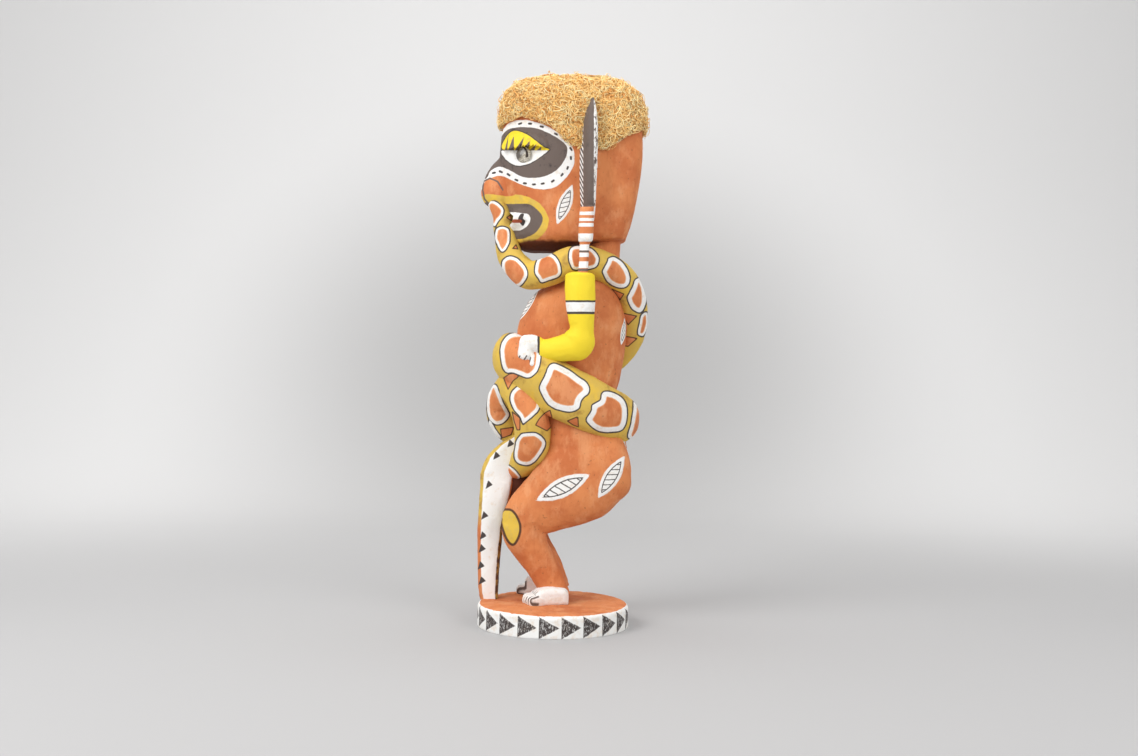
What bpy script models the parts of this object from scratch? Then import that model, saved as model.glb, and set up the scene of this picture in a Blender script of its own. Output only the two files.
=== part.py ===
"""Carved and painted ancestor figure with a long snake, on a round disc.

Metres, +Z up. The origin is the centre of the disc's underside. The figure faces -Y, and its left side
is +X. The carving's own shape is given in shares: CARVED_UNITS of them make the height of the carving.
"""

import math

import bmesh
import bpy
from mathutils import Vector

FIGURE_HEIGHT = 0.709
DISC_RADIUS = 0.100
DISC_THICKNESS = 0.029
DISC_EDGE_ROUND = 0.005
MIDDLE_X = -0.027
WIG_THICKNESS = 0.013
FIT_GAP = 0.0006
BOARD_SLOT_GAP = 0.0018
EYE_SHELL_RADIUS = 0.0105
EYE_SHELL_DEPTH = 0.0045
TAIL_THICKNESS = 0.025
EAR_BOARD_REACH = 0.029
EAR_BOARD_ROOT = 0.035
EAR_BOARD_EDGE = 0.0135
STEM_WIDTH = 0.019
SOLE_SINK = 0.003

CARVED_UNITS = 709
UNIT = FIGURE_HEIGHT / CARVED_UNITS

DISC_SIDES = 48
BODY_SIDES = 18
THIGH_SIDES = 14
LIMB_SIDES = 12
SNAKE_SIDES = 12
HEAD_SIDES = 24
HAND_SIDES = 8
FINGER_SIDES = 5


def place(x, y, z):
    """A point of the carving: x from the middle plane, y from the disc's centre, z from the disc's top."""
    return Vector((MIDDLE_X + x * UNIT, y * UNIT, DISC_THICKNESS + z * UNIT))


def rounded(angle, power):
    """Cosine and sine of an angle, pushed out towards a square as the power grows past 2."""
    c = math.cos(angle)
    s = math.sin(angle)
    return (
        math.copysign(abs(c) ** (2 / power), c),
        math.copysign(abs(s) ** (2 / power), s),
    )


def level_ring(row, sides, grow=0.0):
    """A level ring from (z, front, back, half width, front power, back power), grown outwards by grow."""
    z, front, back, half, front_power, back_power = row
    widest = front + (back - front) * 0.52
    ring = []
    for step in range(sides):
        angle = 2 * math.pi * step / sides
        ahead = math.sin(angle) < 0
        c, s = rounded(angle, front_power if ahead else back_power)
        reach = (widest - front) if ahead else (back - widest)
        ring.append(place(c * (half + grow), widest + s * (reach + grow), z))
    return ring


def upright_ring(row, side, sides):
    """A ring that stands across Y, from (y, bottom, top, centre x, half width)."""
    y, bottom, top, centre, half = row
    ring = []
    for step in range(sides):
        c, s = rounded(2 * math.pi * step / sides, 2.3)
        ring.append(place(side * (centre + c * half), y, (bottom + top) / 2 + s * (top - bottom) / 2))
    return ring if side < 0 else ring[::-1]


def skin(name, rings, same_split=False):
    """One closed solid through a row of rings, with a fan at each end.

    With same_split its faces are split the same way each time, so a grown copy keeps its distance.
    """
    mesh = bmesh.new()
    rows = [[mesh.verts.new(point) for point in ring] for ring in rings]
    count = len(rings[0])
    for low, high in zip(rows, rows[1:]):
        for step in range(count):
            after = (step + 1) % count
            mesh.faces.new((low[step], low[after], high[after], high[step]))
    for row, turned in ((rows[0], True), (rows[-1], False)):
        middle = mesh.verts.new(sum((v.co for v in row), Vector()) / count)
        for step in range(count):
            pair = (row[step], row[(step + 1) % count])
            mesh.faces.new((*(pair[::-1] if turned else pair), middle))
    bmesh.ops.recalc_face_normals(mesh, faces=mesh.faces)
    if same_split:
        bmesh.ops.triangulate(mesh, faces=mesh.faces, quad_method="FIXED")
    return solid(name, mesh)


def solid(name, mesh):
    data = bpy.data.meshes.new(name)
    mesh.to_mesh(data)
    mesh.free()
    made = bpy.data.objects.new(name, data)
    bpy.context.scene.collection.objects.link(made)
    return made


def tube(name, route, sides, away_from=(0, 20), tip=0.35, buried=False):
    """A round or oval rod along rows of (x, y, z, outward radius, side radius), closed by blunt tips.

    The outward radius points away from the upright line at away_from. A buried start has no tip.
    """
    centres = [Vector(row[:3]) for row in route]
    radii = [row[3:] for row in route]
    rings = []
    last = len(centres) - 1
    for i, centre in enumerate(centres):
        along = (centres[min(i + 1, last)] - centres[max(i - 1, 0)]).normalized()
        out = Vector((centre.x - away_from[0], centre.y - away_from[1], 0))
        out = (out - along * out.dot(along)).normalized()
        across = along.cross(out)
        outward, sideways = radii[i]
        ends = (i == 0 and not buried) * -1 + (i == last)
        for pull, share in ((0, 1.0),) if not ends else tip_rings(ends, tip):
            middle = centre + along * pull * sideways
            ring = []
            for step in range(sides):
                angle = 2 * math.pi * step / sides
                turn = out * math.cos(angle) * outward + across * math.sin(angle) * sideways
                ring.append(place(*(middle + turn * share)))
            rings.append(ring)
    return skin(name, rings)


def tip_rings(end, tip):
    """How far past the end, and how wide, the rings of a blunt tip are."""
    outer = (tip * end * 1.6, 0.45)
    inner = (tip * end, 0.82)
    return (outer, inner, (0, 1.0)) if end < 0 else ((0, 1.0), inner, outer)


def evened(obj):
    """Bakes an object's modifiers into its mesh."""
    graph = bpy.context.evaluated_depsgraph_get()
    baked = bpy.data.meshes.new_from_object(obj.evaluated_get(graph))
    obj.modifiers.clear()
    obj.data = baked


def boolean(target, others, operation):
    """Joins the others to the target, or cuts them from it, and removes them."""
    for other in others:
        other.hide_render = True
        other.display_type = "WIRE"
        step = target.modifiers.new(other.name, "BOOLEAN")
        step.operation = operation
        step.solver = "EXACT"
        step.use_self = True
        step.object = other
        bpy.context.view_layer.update()
        evened(target)
        bpy.data.objects.remove(other)
    return target


def disc():
    """The round base, its upper edge rounded over."""
    mesh = bmesh.new()
    bmesh.ops.create_cone(
        mesh,
        cap_ends=True,
        segments=DISC_SIDES,
        radius1=DISC_RADIUS,
        radius2=DISC_RADIUS,
        depth=DISC_THICKNESS,
    )
    bmesh.ops.translate(mesh, verts=mesh.verts, vec=(0, 0, DISC_THICKNESS / 2))
    rim = [e for e in mesh.edges if all(v.co.z > DISC_THICKNESS / 2 for v in e.verts)]
    bmesh.ops.bevel(mesh, geom=rim, offset=DISC_EDGE_ROUND, segments=2, affect="EDGES", profile=0.5)
    return solid("disc", mesh)


TORSO = (
    (178, -18, 92, 50, 2.2, 2.4),
    (200, -24, 96, 58, 2.2, 2.4),
    (222, -27, 92, 58, 2.2, 2.4),
    (245, -29, 84, 53, 2.2, 2.4),
    (268, -34, 78, 47, 2.2, 2.4),
    (295, -41, 84, 49, 2.2, 2.3),
    (322, -48, 89, 53, 2.2, 2.2),
    (349, -53, 92, 56, 2.2, 2.2),
    (372, -52, 93, 57, 2.2, 2.2),
    (396, -42, 88, 56, 2.1, 2.2),
    (416, -25, 82, 51, 2.1, 2.1),
    (432, -2, 79, 44, 2.1, 2.1),
    (446, 20, 80, 36, 2.1, 2.1),
    (457, 36, 82, 29, 2.2, 2.2),
    (475, 41, 83, 27, 2.3, 2.3),
    (500, 41, 84, 27, 2.3, 2.3),
)

THIGH = (
    (101, 158, 180, 22, 14),
    (97, 148, 200, 24, 24),
    (86, 137, 222, 27, 30),
    (66, 117, 236, 29, 33),
    (40, 106, 238, 30, 33),
    (12, 98, 228, 31, 30),
    (-10, 92, 205, 32, 26),
    (-32, 87, 172, 33, 23),
    (-48, 86, 152, 33, 20),
    (-58, 92, 139, 33, 15),
    (-68, 102, 119, 33, 8),
)

SHIN = (
    (14, -18, 22, 25, 15),
    (28, -27, 17, 25, 15),
    (44, -38, 11, 27, 16),
    (62, -53, 2, 29, 18),
    (80, -65, -8, 31, 20),
    (100, -70, -15, 32, 20),
    (114, -66, -20, 32, 16),
)


def torso():
    return skin("torso", [level_ring(row, BODY_SIDES) for row in TORSO])


def thigh(side):
    return skin("thigh", [upright_ring(row, side, THIGH_SIDES) for row in THIGH])


def shin(side):
    rings = []
    for z, front, back, centre, half in SHIN:
        ring = level_ring((z, front, back, half, 2.3, 2.3), LIMB_SIDES)
        rings.append([point + Vector((side * centre * UNIT, 0, 0)) for point in ring])
    return skin("shin", rings)


HEEL = (29, 18)
TOE_ROOT = (39, -25)
RIGHT_FOOT_SHIFT = (8, -11)
RIGHT_FOOT_RISE = 1.4
FOOT = (
    (0.0, 17, 11),
    (0.12, 21, 15),
    (0.45, 23, 16),
    (0.75, 22, 17),
    (1.0, 16, 18),
)
TOES = 5
TOE_PITCH = 7.0
TOE_REACH = 13
TOE_STEP = 1.6
LONGEST_TOE = 1.2


def foot(side):
    """A splayed foot: a blunt block, with a row of toes along its front. The right one stands ahead."""
    sole = -SOLE_SINK / UNIT
    shift = Vector((*RIGHT_FOOT_SHIFT, 0)) if side < 0 else Vector()
    rise = RIGHT_FOOT_RISE if side < 0 else 1
    heel = Vector((*HEEL, 0)) + shift
    ball = Vector((*TOE_ROOT, 0)) + shift
    along = (ball - heel).normalized()
    across = Vector((-along.y, along.x, 0))
    rings = []
    for share, tall, wide in FOOT:
        middle = heel.lerp(ball, share)
        ring = []
        for step in range(HAND_SIDES):
            c, s = rounded(2 * math.pi * (step + 0.5) / HAND_SIDES, 3.0)
            spot = middle + across * c * wide
            ring.append(place(side * spot.x, spot.y, sole + (tall * rise - sole) * (1 + s) / 2))
        rings.append(ring)
    sole_and_arch = skin("foot", rings)
    toes = []
    for toe in range(TOES):
        root = ball + across * (toe - (TOES - 1) / 2) * TOE_PITCH - along * 4
        tip = root + along * (TOE_REACH - abs(toe - LONGEST_TOE) * TOE_STEP)
        spots = [(side * root.x, root.y, 5.5, 4.4, 8.5), (side * tip.x, tip.y, 4.5, 4.1, 7.5)]
        toes.append(tube("toe", spots, FINGER_SIDES, away_from=(side * ball.x * 2, 60), buried=True))
    return boolean(sole_and_arch, toes, "UNION")


ARM = (
    (75, 29, 431, 14, 19),
    (76, 29.5, 404, 15, 19.5),
    (76, 31, 378, 14, 17),
    (75, 32, 362, 14, 15.5),
    (75, 27.5, 344, 15, 21.5),
    (72, 12, 338, 14, 17.5),
    (66, -6, 335, 14, 15.5),
    (62, -19, 335, 12, 13),
)
SHOULDER_TIP = 0.12

PALM = (
    (61, -17, 336, 10, 12),
    (64, -31, 342, 9.5, 12),
    (65, -41, 343, 8.5, 10.5),
)

KNUCKLES = (
    (65, -39, 345, 8.5, 9.5),
    (66, -41, 328, 8, 11),
)

FINGERS = 4
FINGER_ROOTS = ((61, -48, 327), (70, -31.5, 327))
FINGER_TIPS = ((60, -52, 318), (73, -31, 315))
FINGER_BOW = 6
FINGER_RADIUS = 3.6


def arm(side):
    route = [(side * x, y, z, out, wide) for x, y, z, out, wide in ARM]
    return tube("arm", route, LIMB_SIDES, tip=SHOULDER_TIP)


def hand(side):
    """A palm laid on the coil, with its fingers side by side over it."""
    palm, knuckles = (
        tube("palm", [(side * x, y, z, out, wide) for x, y, z, out, wide in route], HAND_SIDES)
        for route in (PALM, KNUCKLES)
    )
    fingers = [knuckles]
    for finger in range(FINGERS):
        share = finger / (FINGERS - 1)
        root = Vector(FINGER_ROOTS[0]).lerp(Vector(FINGER_ROOTS[1]), share)
        tip = Vector(FINGER_TIPS[0]).lerp(Vector(FINGER_TIPS[1]), share)
        tip.z -= FINGER_BOW * math.sin(math.pi * share)
        spots = [(side * spot.x, spot.y, spot.z, FINGER_RADIUS, FINGER_RADIUS) for spot in (root, tip)]
        fingers.append(tube("finger", spots, FINGER_SIDES, buried=True))
    return boolean(palm, fingers, "UNION")


SNAKE = (
    (0, -91, 551, 11, 11),
    (1, -86, 540, 13, 13),
    (5, -76, 518, 14, 14),
    (11, -72, 492, 15, 15),
    (22, -63, 458, 17, 17),
    (36, -40, 435, 19, 19),
    (47, -12, 438, 19, 19),
    (51, 12, 449, 20, 20),
    (50, 37, 452, 20, 20),
    (40, 62, 445, 20, 20),
    (24, 84, 431, 20, 20),
    (7, 97, 410, 20, 21),
    (-12, 101, 385, 21, 22),
    (-32, 96, 358, 22, 24),
    (-50, 78, 336, 22, 26),
    (-63, 48, 324, 22, 28),
    (-66, 10, 320, 23, 30),
    (-57, -30, 320, 24, 32),
    (-32, -54, 324, 25, 33),
    (0, -62, 325, 25, 34),
    (30, -53, 320, 25, 34),
    (50, -28, 303, 25, 35),
    (58, 5, 282, 24, 36),
    (56, 38, 267, 24, 35),
    (42, 66, 254, 25, 34),
    (16, 84, 246, 26, 33),
    (-16, 84, 245, 26, 31),
    (-42, 66, 243, 25, 31),
    (-57, 34, 240, 24, 30),
    (-58, 0, 234, 23, 28),
    (-50, -34, 226, 21, 24),
    (-38, -60, 226, 20, 21),
    (-32, -74, 242, 20, 20),
    (-28, -75, 262, 21, 21),
    (-10, -63, 281, 23, 22),
    (14, -53, 285, 26, 23),
    (35, -43, 276, 26, 24),
    (45, -35, 254, 24, 24),
    (42, -30, 228, 24, 24),
    (34, -32, 203, 23, 23),
    (16, -43, 184, 19, 19),
    (5, -53, 174, 12, 13),
)


def snake():
    """The whole body of the snake, from the figure's nose to the curl beside its tail."""
    return tube("snake", SNAKE, SNAKE_SIDES)


TAIL = (
    (-4, -97, -74, 0.80),
    (8, -100, -75, 0.86),
    (34, -102, -74, 0.95),
    (66, -103, -72, 1.0),
    (96, -103, -69, 1.05),
    (124, -102, -63, 1.08),
    (148, -101, -58, 1.08),
    (170, -100, -55, 1.04),
    (190, -92, -50, 0.98),
    (206, -78, -42, 0.92),
    (220, -58, -30, 0.75),
)

WEB = (
    (114, -80, -58, 4),
    (134, -84, -46, 7),
    (160, -84, -26, 9),
    (194, -78, -4, 10),
)


def tail():
    """The flattened tail, which comes down in front of the legs as a board and stands on the disc."""
    half = TAIL_THICKNESS / 2 / UNIT
    rows = [(z, front, back, half * share, 2.6, 4.0) for z, front, back, share in TAIL]
    return skin("tail", [level_ring(row, LIMB_SIDES + 2) for row in rows])


def web():
    """The wood left standing between the root of the tail and the belly."""
    return skin("web", [level_ring((*row, 2.6, 2.6), HAND_SIDES) for row in WEB])


HEAD = (
    (468, -46, 2, 16, 2.2, 2.4),
    (475, -61, 26, 31, 2.2, 3.0),
    (483, -65, 83, 42, 2.2, 4.2),
    (489, -66, 90, 47, 2.2, 4.6),
    (502, -68, 95, 49, 2.2, 4.6),
    (520, -71, 100, 51, 2.2, 4.6),
    (545, -76, 105, 53, 2.2, 4.6),
    (568, -80, 108, 54, 2.2, 4.6),
    (592, -81, 110, 55, 2.2, 4.6),
    (614, -80, 110, 55, 2.2, 4.4),
    (636, -77, 108, 54, 2.2, 4.2),
    (658, -74, 104, 52, 2.3, 3.8),
    (678, -68, 97, 48, 2.4, 3.4),
    (690, -56, 86, 41, 2.4, 3.0),
    (696, -38, 68, 30, 2.4, 2.6),
)
CHIN_Z = HEAD[0][0]
HEAD_TOP_Z = HEAD[-1][0]
HEAD_HALF = max(row[3] for row in HEAD)

NOSE = (
    (524, -80, -50, 8),
    (530, -97, -50, 14),
    (540, -104, -48, 18),
    (551, -105, -46, 18),
    (567, -101, -46, 15),
    (582, -93, -48, 12),
    (594, -82, -50, 9),
)


def head_block(name="head", grow=0.0):
    """The head without its features, grown outwards by grow for what fits over it."""
    rows = list(HEAD)
    rings = [level_ring(row, HEAD_SIDES, grow) for row in rows]
    if grow:
        rings = [[point + Vector((0, 0, grow * UNIT)) for point in ring] for ring in rings]
    return skin(name, rings)


def head_side(y, z):
    """How far from the middle plane the side of the head lies at this y and z."""
    for low, high in zip(HEAD, HEAD[1:]):
        if low[0] <= z <= high[0]:
            share = (z - low[0]) / (high[0] - low[0])
            front, back, half, power = (low[i] + (high[i] - low[i]) * share for i in (1, 2, 3, 4))
            widest = front + (back - front) * 0.52
            reach = min(1.0, max(0.0, (widest - y) / (widest - front)))
            return half * (1 - reach**power) ** (1 / power)
    return 0.0


EYE_Y = -46
EYE_BELOW_TOP = 97
EYE_Z = HEAD_TOP_Z - EYE_BELOW_TOP
LID_REACH = 34
LID_HEIGHT = 24
LID_BULGE = 9
LID_SINK = 2
LID_RINGS = 5
LID_SIDES = 14
SOCKET_REACH = 27
SOCKET_HEIGHT = 15
SOCKET_DEPTH = 6
SHELL_SINK = 3
SHELL_BELOW_LID = 7


def oval(name, centre, radii, turn, segments, rings):
    """An ellipsoid, its radii in shares, turned about the upright axis."""
    mesh = bmesh.new()
    bmesh.ops.create_uvsphere(mesh, u_segments=segments, v_segments=rings, radius=1)
    c = math.cos(turn)
    s = math.sin(turn)
    for v in mesh.verts:
        x, y, z = (v.co[i] * radii[i] for i in range(3))
        v.co = place(centre[0] + x * c - y * s, centre[1] + x * s + y * c, centre[2] + z)
    bmesh.ops.recalc_face_normals(mesh, faces=mesh.faces)
    return solid(name, mesh)


def eye_turn(side):
    """The direction that an eye looks in, as a turn from straight out to the side."""
    span = LID_REACH / 3
    ahead = head_side(EYE_Y - span, EYE_Z)
    behind = head_side(EYE_Y + span, EYE_Z)
    return -side * math.atan2(behind - ahead, 2 * span)


def eyelid(side):
    """The heavy upper lid, a raised half oval with a level lower edge."""
    centre = (side * (head_side(EYE_Y, EYE_Z) - LID_SINK), EYE_Y)
    turn = eye_turn(side)
    rings = []
    for step in range(LID_RINGS):
        rise = math.sin(math.pi / 2 * step / LID_RINGS)
        spread = math.sqrt(1 - rise**2)
        ring = []
        for corner in range(LID_SIDES):
            angle = 2 * math.pi * corner / LID_SIDES
            x = LID_BULGE * spread * math.cos(angle)
            y = LID_REACH * spread * math.sin(angle)
            ring.append(
                place(
                    centre[0] + x * math.cos(turn) - y * math.sin(turn),
                    centre[1] + x * math.sin(turn) + y * math.cos(turn),
                    EYE_Z + LID_HEIGHT * rise,
                )
            )
        rings.append(ring)
    return skin("lid", rings)


def eye_socket(side):
    """The hollow under the lid that the shell is set in."""
    x = head_side(EYE_Y, EYE_Z - 4) + 1
    radii = (SOCKET_DEPTH, SOCKET_REACH, SOCKET_HEIGHT)
    return oval("socket", (side * x, EYE_Y, EYE_Z - SOCKET_HEIGHT / 3), radii, eye_turn(side), 14, 6)


def eye_shell(name, side, grow=0.0):
    """The shell disc of an eye, a low lens set in the socket."""
    level = EYE_Z - SHELL_BELOW_LID
    x = head_side(EYE_Y, level) - SHELL_SINK
    radius = (EYE_SHELL_RADIUS + grow) / UNIT
    depth = (EYE_SHELL_DEPTH + grow) / UNIT
    return oval(name, (side * x, EYE_Y - 2, level), (depth, radius, radius), eye_turn(side), 12, 8)


MOUTH_ABOVE_CHIN = 41
MOUTH_Z = CHIN_Z + MOUTH_ABOVE_CHIN
MOUTH_Y = -60
MOUTH_RADII = (35, 24, 11)
LIPS_Y = -52
LIPS_RADII = (41, 20, 20)


def mouth():
    """The open mouth, a wide low hollow across the front of the face."""
    return oval("mouth", (0, MOUTH_Y, MOUTH_Z), MOUTH_RADII, 0, 16, 6)


def lips():
    """The raised ring round the mouth."""
    return oval("lips", (0, LIPS_Y, MOUTH_Z), LIPS_RADII, 0, 18, 6)


EAR_BOARD = (
    (512, 0.55, 0.72),
    (532, 0.86, 0.84),
    (560, 1.0, 0.95),
    (596, 1.0, 1.0),
    (626, 0.92, 0.97),
    (646, 0.76, 0.70),
    (663, 0.56, 0.14),
)
BOARD_Y = 42
BOARD_ROOT_Y = 39.5
BOARD_TENON = 11


def ear_board(side, grow=0.0):
    """A tall board beside the head, thick at its root and thinner at its rounded outer edge."""
    tenon = BOARD_TENON + grow
    reach = EAR_BOARD_REACH / UNIT
    half_root = EAR_BOARD_ROOT / 2 / UNIT
    half_edge = EAR_BOARD_EDGE / 2 / UNIT
    rings = []
    for z, out, thick in EAR_BOARD:
        top = grow if z == EAR_BOARD[-1][0] else 0
        inner = HEAD_HALF - tenon
        outer = HEAD_HALF + reach * out + grow
        root = half_root * thick + grow
        edge = half_edge * thick + grow
        spots = (
            (inner, BOARD_ROOT_Y - root),
            (outer - edge * 0.6, BOARD_Y - edge),
            (outer, BOARD_Y - edge * 0.45),
            (outer, BOARD_Y + edge * 0.45),
            (outer - edge * 0.6, BOARD_Y + edge),
            (inner, BOARD_ROOT_Y + root),
        )
        rings.append([place(side * x, y, z + top) for x, y in spots])
    return skin("ear_board", rings, same_split=True)


STEM = (
    (422, 79, 31, 0.72, 0.76),
    (446, 77, 33, 0.64, 0.76),
    (472, 74, 34, 0.66, 0.8),
    (478, 73, 35, 0.96, 1.25),
    (500, 70, 36, 1.0, 1.4),
    (520, 68, 37, 1.0, 1.5),
)


def stem(side):
    """The banded stem that joins an ear board to the top of the arm."""
    half = STEM_WIDTH / 2 / UNIT
    rings = []
    for z, x, y, long, wide in STEM:
        ring = level_ring((z, y - half * long, y + half * long, half * wide, 3.0, 3.0), 8)
        rings.append([point + Vector((side * x * UNIT, 0, 0)) for point in ring])
    return skin("stem", rings)


def nose():
    """The broad hooked nose."""
    return skin("nose", [level_ring((*row, 2.0, 2.0), LIMB_SIDES + 2) for row in NOSE])


def carved_head():
    """The head with its nose, lids, lips, mouth, sockets, ear boards and stems."""
    head = head_block()
    added = [nose(), lips()]
    cuts = [mouth()]
    for side in (1, -1):
        added += [eyelid(side), ear_board(side), stem(side)]
        cuts += [eye_socket(side)]
    boolean(head, added, "UNION")
    return boolean(head, cuts, "DIFFERENCE")


WIG_RISE = 10
WIG_HEM = (
    (-95, 30),
    (-74, 32),
    (-52, 40),
    (-8, 22),
    (20, -4),
    (62, -4),
    (88, 12),
    (115, 28),
)
WIG_SHOULDER = 17
WIG_SIDES = ((0, 0.75), (0.35, 1.0), (0.72, 1.05), (1, 0.85))
WIG_CROWN = ((-1, 0.1), (-0.4, -0.25), (0.3, -0.4), (1, 0.0))


def wig_hem(y):
    """The level of the wig's lower edge at this y, highest over the brow and lowest at the ear boards."""
    for (here, low), (there, high) in zip(WIG_HEM, WIG_HEM[1:]):
        if here <= y <= there:
            return EYE_Z + low + (high - low) * (y - here) / (there - here)
    return EYE_Z + (WIG_HEM[0][1] if y < 0 else WIG_HEM[-1][1])


def wig():
    """The fibre wig, a thick cap that follows the head, lower at its sides than at its brow and nape."""
    shoulder = HEAD_TOP_Z - WIG_SHOULDER
    levels = [(share, shoulder, wide) for share, wide in WIG_SIDES]
    levels += [(1, HEAD_TOP_Z + rise * WIG_RISE, wide) for rise, wide in WIG_CROWN]
    rings = []
    for share, top, wide in levels:
        ring = []
        for step in range(HEAD_SIDES):
            angle = 2 * math.pi * step / HEAD_SIDES
            hem = wig_hem(head_edge(angle, EYE_Z, 0, 0).y / UNIT)
            z = hem + (top - hem) * share
            ring.append(head_edge(angle, min(z - WIG_RISE, HEAD_TOP_Z), wide * WIG_THICKNESS / UNIT, z))
        rings.append(ring)
    cap = skin("fibre_wig", rings)
    cuts = [head_block("hat_form", FIT_GAP / UNIT)]
    cuts += [ear_board(side, BOARD_SLOT_GAP / UNIT) for side in (1, -1)]
    return boolean(cap, cuts, "DIFFERENCE")


def head_edge(angle, z, grow, height):
    """The point of the head's outline at an angle and a level, grown outwards and set at a height."""
    lower = max((row for row in HEAD if row[0] <= z), key=lambda row: row[0])
    upper = min((row for row in HEAD if row[0] >= z), key=lambda row: row[0])
    gap = upper[0] - lower[0]
    share = (z - lower[0]) / gap if gap else 0.0
    row = [a + (b - a) * share for a, b in zip(lower, upper)]
    ahead = math.sin(angle) < 0
    c, s = rounded(angle, row[4] if ahead else row[5])
    widest = row[1] + (row[2] - row[1]) * 0.52
    reach = (widest - row[1]) if ahead else (row[2] - widest)
    return place(c * (row[3] + grow), widest + s * (reach + grow), height)


def material(name, colour, roughness):
    made = bpy.data.materials.new(name)
    made.use_nodes = True
    shader = made.node_tree.nodes["Principled BSDF"]
    shader.inputs["Base Color"].default_value = (*colour, 1)
    shader.inputs["Roughness"].default_value = roughness
    shader.inputs["Metallic"].default_value = 0
    return made


def finish(obj, name, look):
    """Names the object, gives it its material and shades its round surfaces smooth."""
    obj.name = name
    obj.data.name = name
    obj.data.materials.clear()
    obj.data.materials.append(look)
    obj.data.shade_smooth()
    obj.data.set_sharp_from_angle(angle=math.radians(40))
    return obj


def carved_figure():
    """Everything that is carved from the one log."""
    pieces = [disc(), tail(), web()]
    for side in (1, -1):
        pieces += [thigh(side), shin(side), foot(side), arm(side), hand(side)]
    pieces.append(carved_head())
    figure = boolean(torso(), [snake(), *pieces], "UNION")
    pockets = [eye_shell("pocket", side, FIT_GAP) for side in (1, -1)]
    return boolean(figure, pockets, "DIFFERENCE")


def build():
    for old in list(bpy.data.objects):
        bpy.data.objects.remove(old)
    painted = material("painted_wood", (0.55, 0.18, 0.07), 0.75)
    fibre = material("bark_fibre", (0.60, 0.38, 0.16), 0.9)
    shell = material("sea_shell", (0.45, 0.42, 0.36), 0.3)
    finish(carved_figure(), "carved_figure", painted)
    finish(wig(), "fibre_wig", fibre)
    finish(eye_shell("left_eye_shell", 1), "left_eye_shell", shell)
    finish(eye_shell("right_eye_shell", -1), "right_eye_shell", shell)


build()
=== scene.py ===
"""The painted and carved surfaces of the ancestor figure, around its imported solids.

Metres, +Z up, in the solids' own frame. The figure faces -Y and the camera looks along -X at its left side.
Carved shapes are given in shares of the carving's height. Paint is placed by where it shows in the
photograph, in pixels of its 1138 x 756 frame, and the far side is painted as the near side's mirror.
"""

import itertools
import math

import bmesh
import bpy
import numpy as np
from mathutils import Matrix, Vector
from mathutils.kdtree import KDTree


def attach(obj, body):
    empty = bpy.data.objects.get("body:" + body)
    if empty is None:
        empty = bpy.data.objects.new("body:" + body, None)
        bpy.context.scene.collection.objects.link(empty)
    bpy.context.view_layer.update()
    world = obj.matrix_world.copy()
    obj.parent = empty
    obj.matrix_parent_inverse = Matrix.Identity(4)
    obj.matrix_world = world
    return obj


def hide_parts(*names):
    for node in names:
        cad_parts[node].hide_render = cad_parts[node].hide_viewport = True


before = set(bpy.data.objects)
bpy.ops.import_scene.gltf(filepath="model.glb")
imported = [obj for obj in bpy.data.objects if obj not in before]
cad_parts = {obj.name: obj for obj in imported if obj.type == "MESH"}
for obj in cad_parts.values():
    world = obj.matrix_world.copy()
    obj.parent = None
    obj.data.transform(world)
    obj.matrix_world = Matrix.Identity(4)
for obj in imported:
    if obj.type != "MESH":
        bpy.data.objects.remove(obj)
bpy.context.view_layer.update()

FIGURE_HEIGHT = 0.709
DISC_RADIUS = 0.100
DISC_THICKNESS = 0.029
DISC_EDGE_ROUND = 0.005
MIDDLE_X = -0.027
WIG_THICKNESS = 0.013
EYE_SHELL_RADIUS = 0.0105
EYE_SHELL_DEPTH = 0.0045
TAIL_THICKNESS = 0.025
EAR_BOARD_REACH = 0.029
EAR_BOARD_ROOT = 0.035
EAR_BOARD_EDGE = 0.0135
STEM_WIDTH = 0.019
SOLE_SINK = 0.003
CARVED_UNITS = 709
UNIT = FIGURE_HEIGHT / CARVED_UNITS

CAMERA_PLACE = (1.685, 0.0166, 0.3276)
FOCAL_PIXELS = 1267.0
PHOTO_WIDTH = 1138
PHOTO_HEIGHT = 756
CAMERA_ROLL = 0.0157
SENSOR_WIDTH = 36.0

WIDEST = 0.52


# Numbers and fields


def between(rows, steps):
    """Rows on a smooth curve through the given rows, with steps of them for each stretch."""
    rows = np.array(rows, float)
    rows = np.vstack([rows[0] * 2 - rows[1], rows, rows[-1] * 2 - rows[-2]])
    t = np.linspace(0, 1, steps, endpoint=False)[:, None]
    parts = []
    for before, here, there, beyond in zip(rows, rows[1:], rows[2:], rows[3:]):
        bend = (2 * before - 5 * here + 4 * there - beyond) * t**2
        twist = (3 * here - before - 3 * there + beyond) * t**3
        parts.append(0.5 * (2 * here + (there - before) * t + bend + twist))
    parts.append(rows[-2:-1])
    return np.vstack(parts)


def round_trip(points, steps):
    """A smooth closed outline through the points."""
    points = np.array(points, float)
    looped = np.vstack([points[-1:], points, points[:2]])
    return between(looped, steps)[steps : -steps - 1]


def field(points, size, seed):
    """Smooth noise between -1 and 1 at the points, with lumps of about the given size."""
    grid = points / size
    cell = np.floor(grid).astype(np.int64)
    part = grid - cell
    part = part * part * (3 - 2 * part)
    total = np.zeros(len(points))
    for corner in itertools.product((0, 1), repeat=3):
        key = cell + np.array(corner)
        mixed = key[:, 0] * 73856093 ^ key[:, 1] * 19349663 ^ key[:, 2] * 83492791 ^ seed * 2654435761
        mixed = ((mixed ^ (mixed >> 13)) * 1274126177) & 0xFFFFFFFF
        mixed = ((mixed ^ (mixed >> 16)) * 2246822519) & 0xFFFFFFFF
        weight = np.prod(np.where(np.array(corner), part, 1 - part), axis=1)
        total += mixed / 0xFFFFFFFF * weight
    return total * 2 - 1


def place(points):
    """Points of the carving: x from the middle plane, y from the disc's centre, z from the disc's top."""
    return np.array(points, float) * UNIT + np.array((MIDDLE_X, 0, DISC_THICKNESS))


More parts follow.
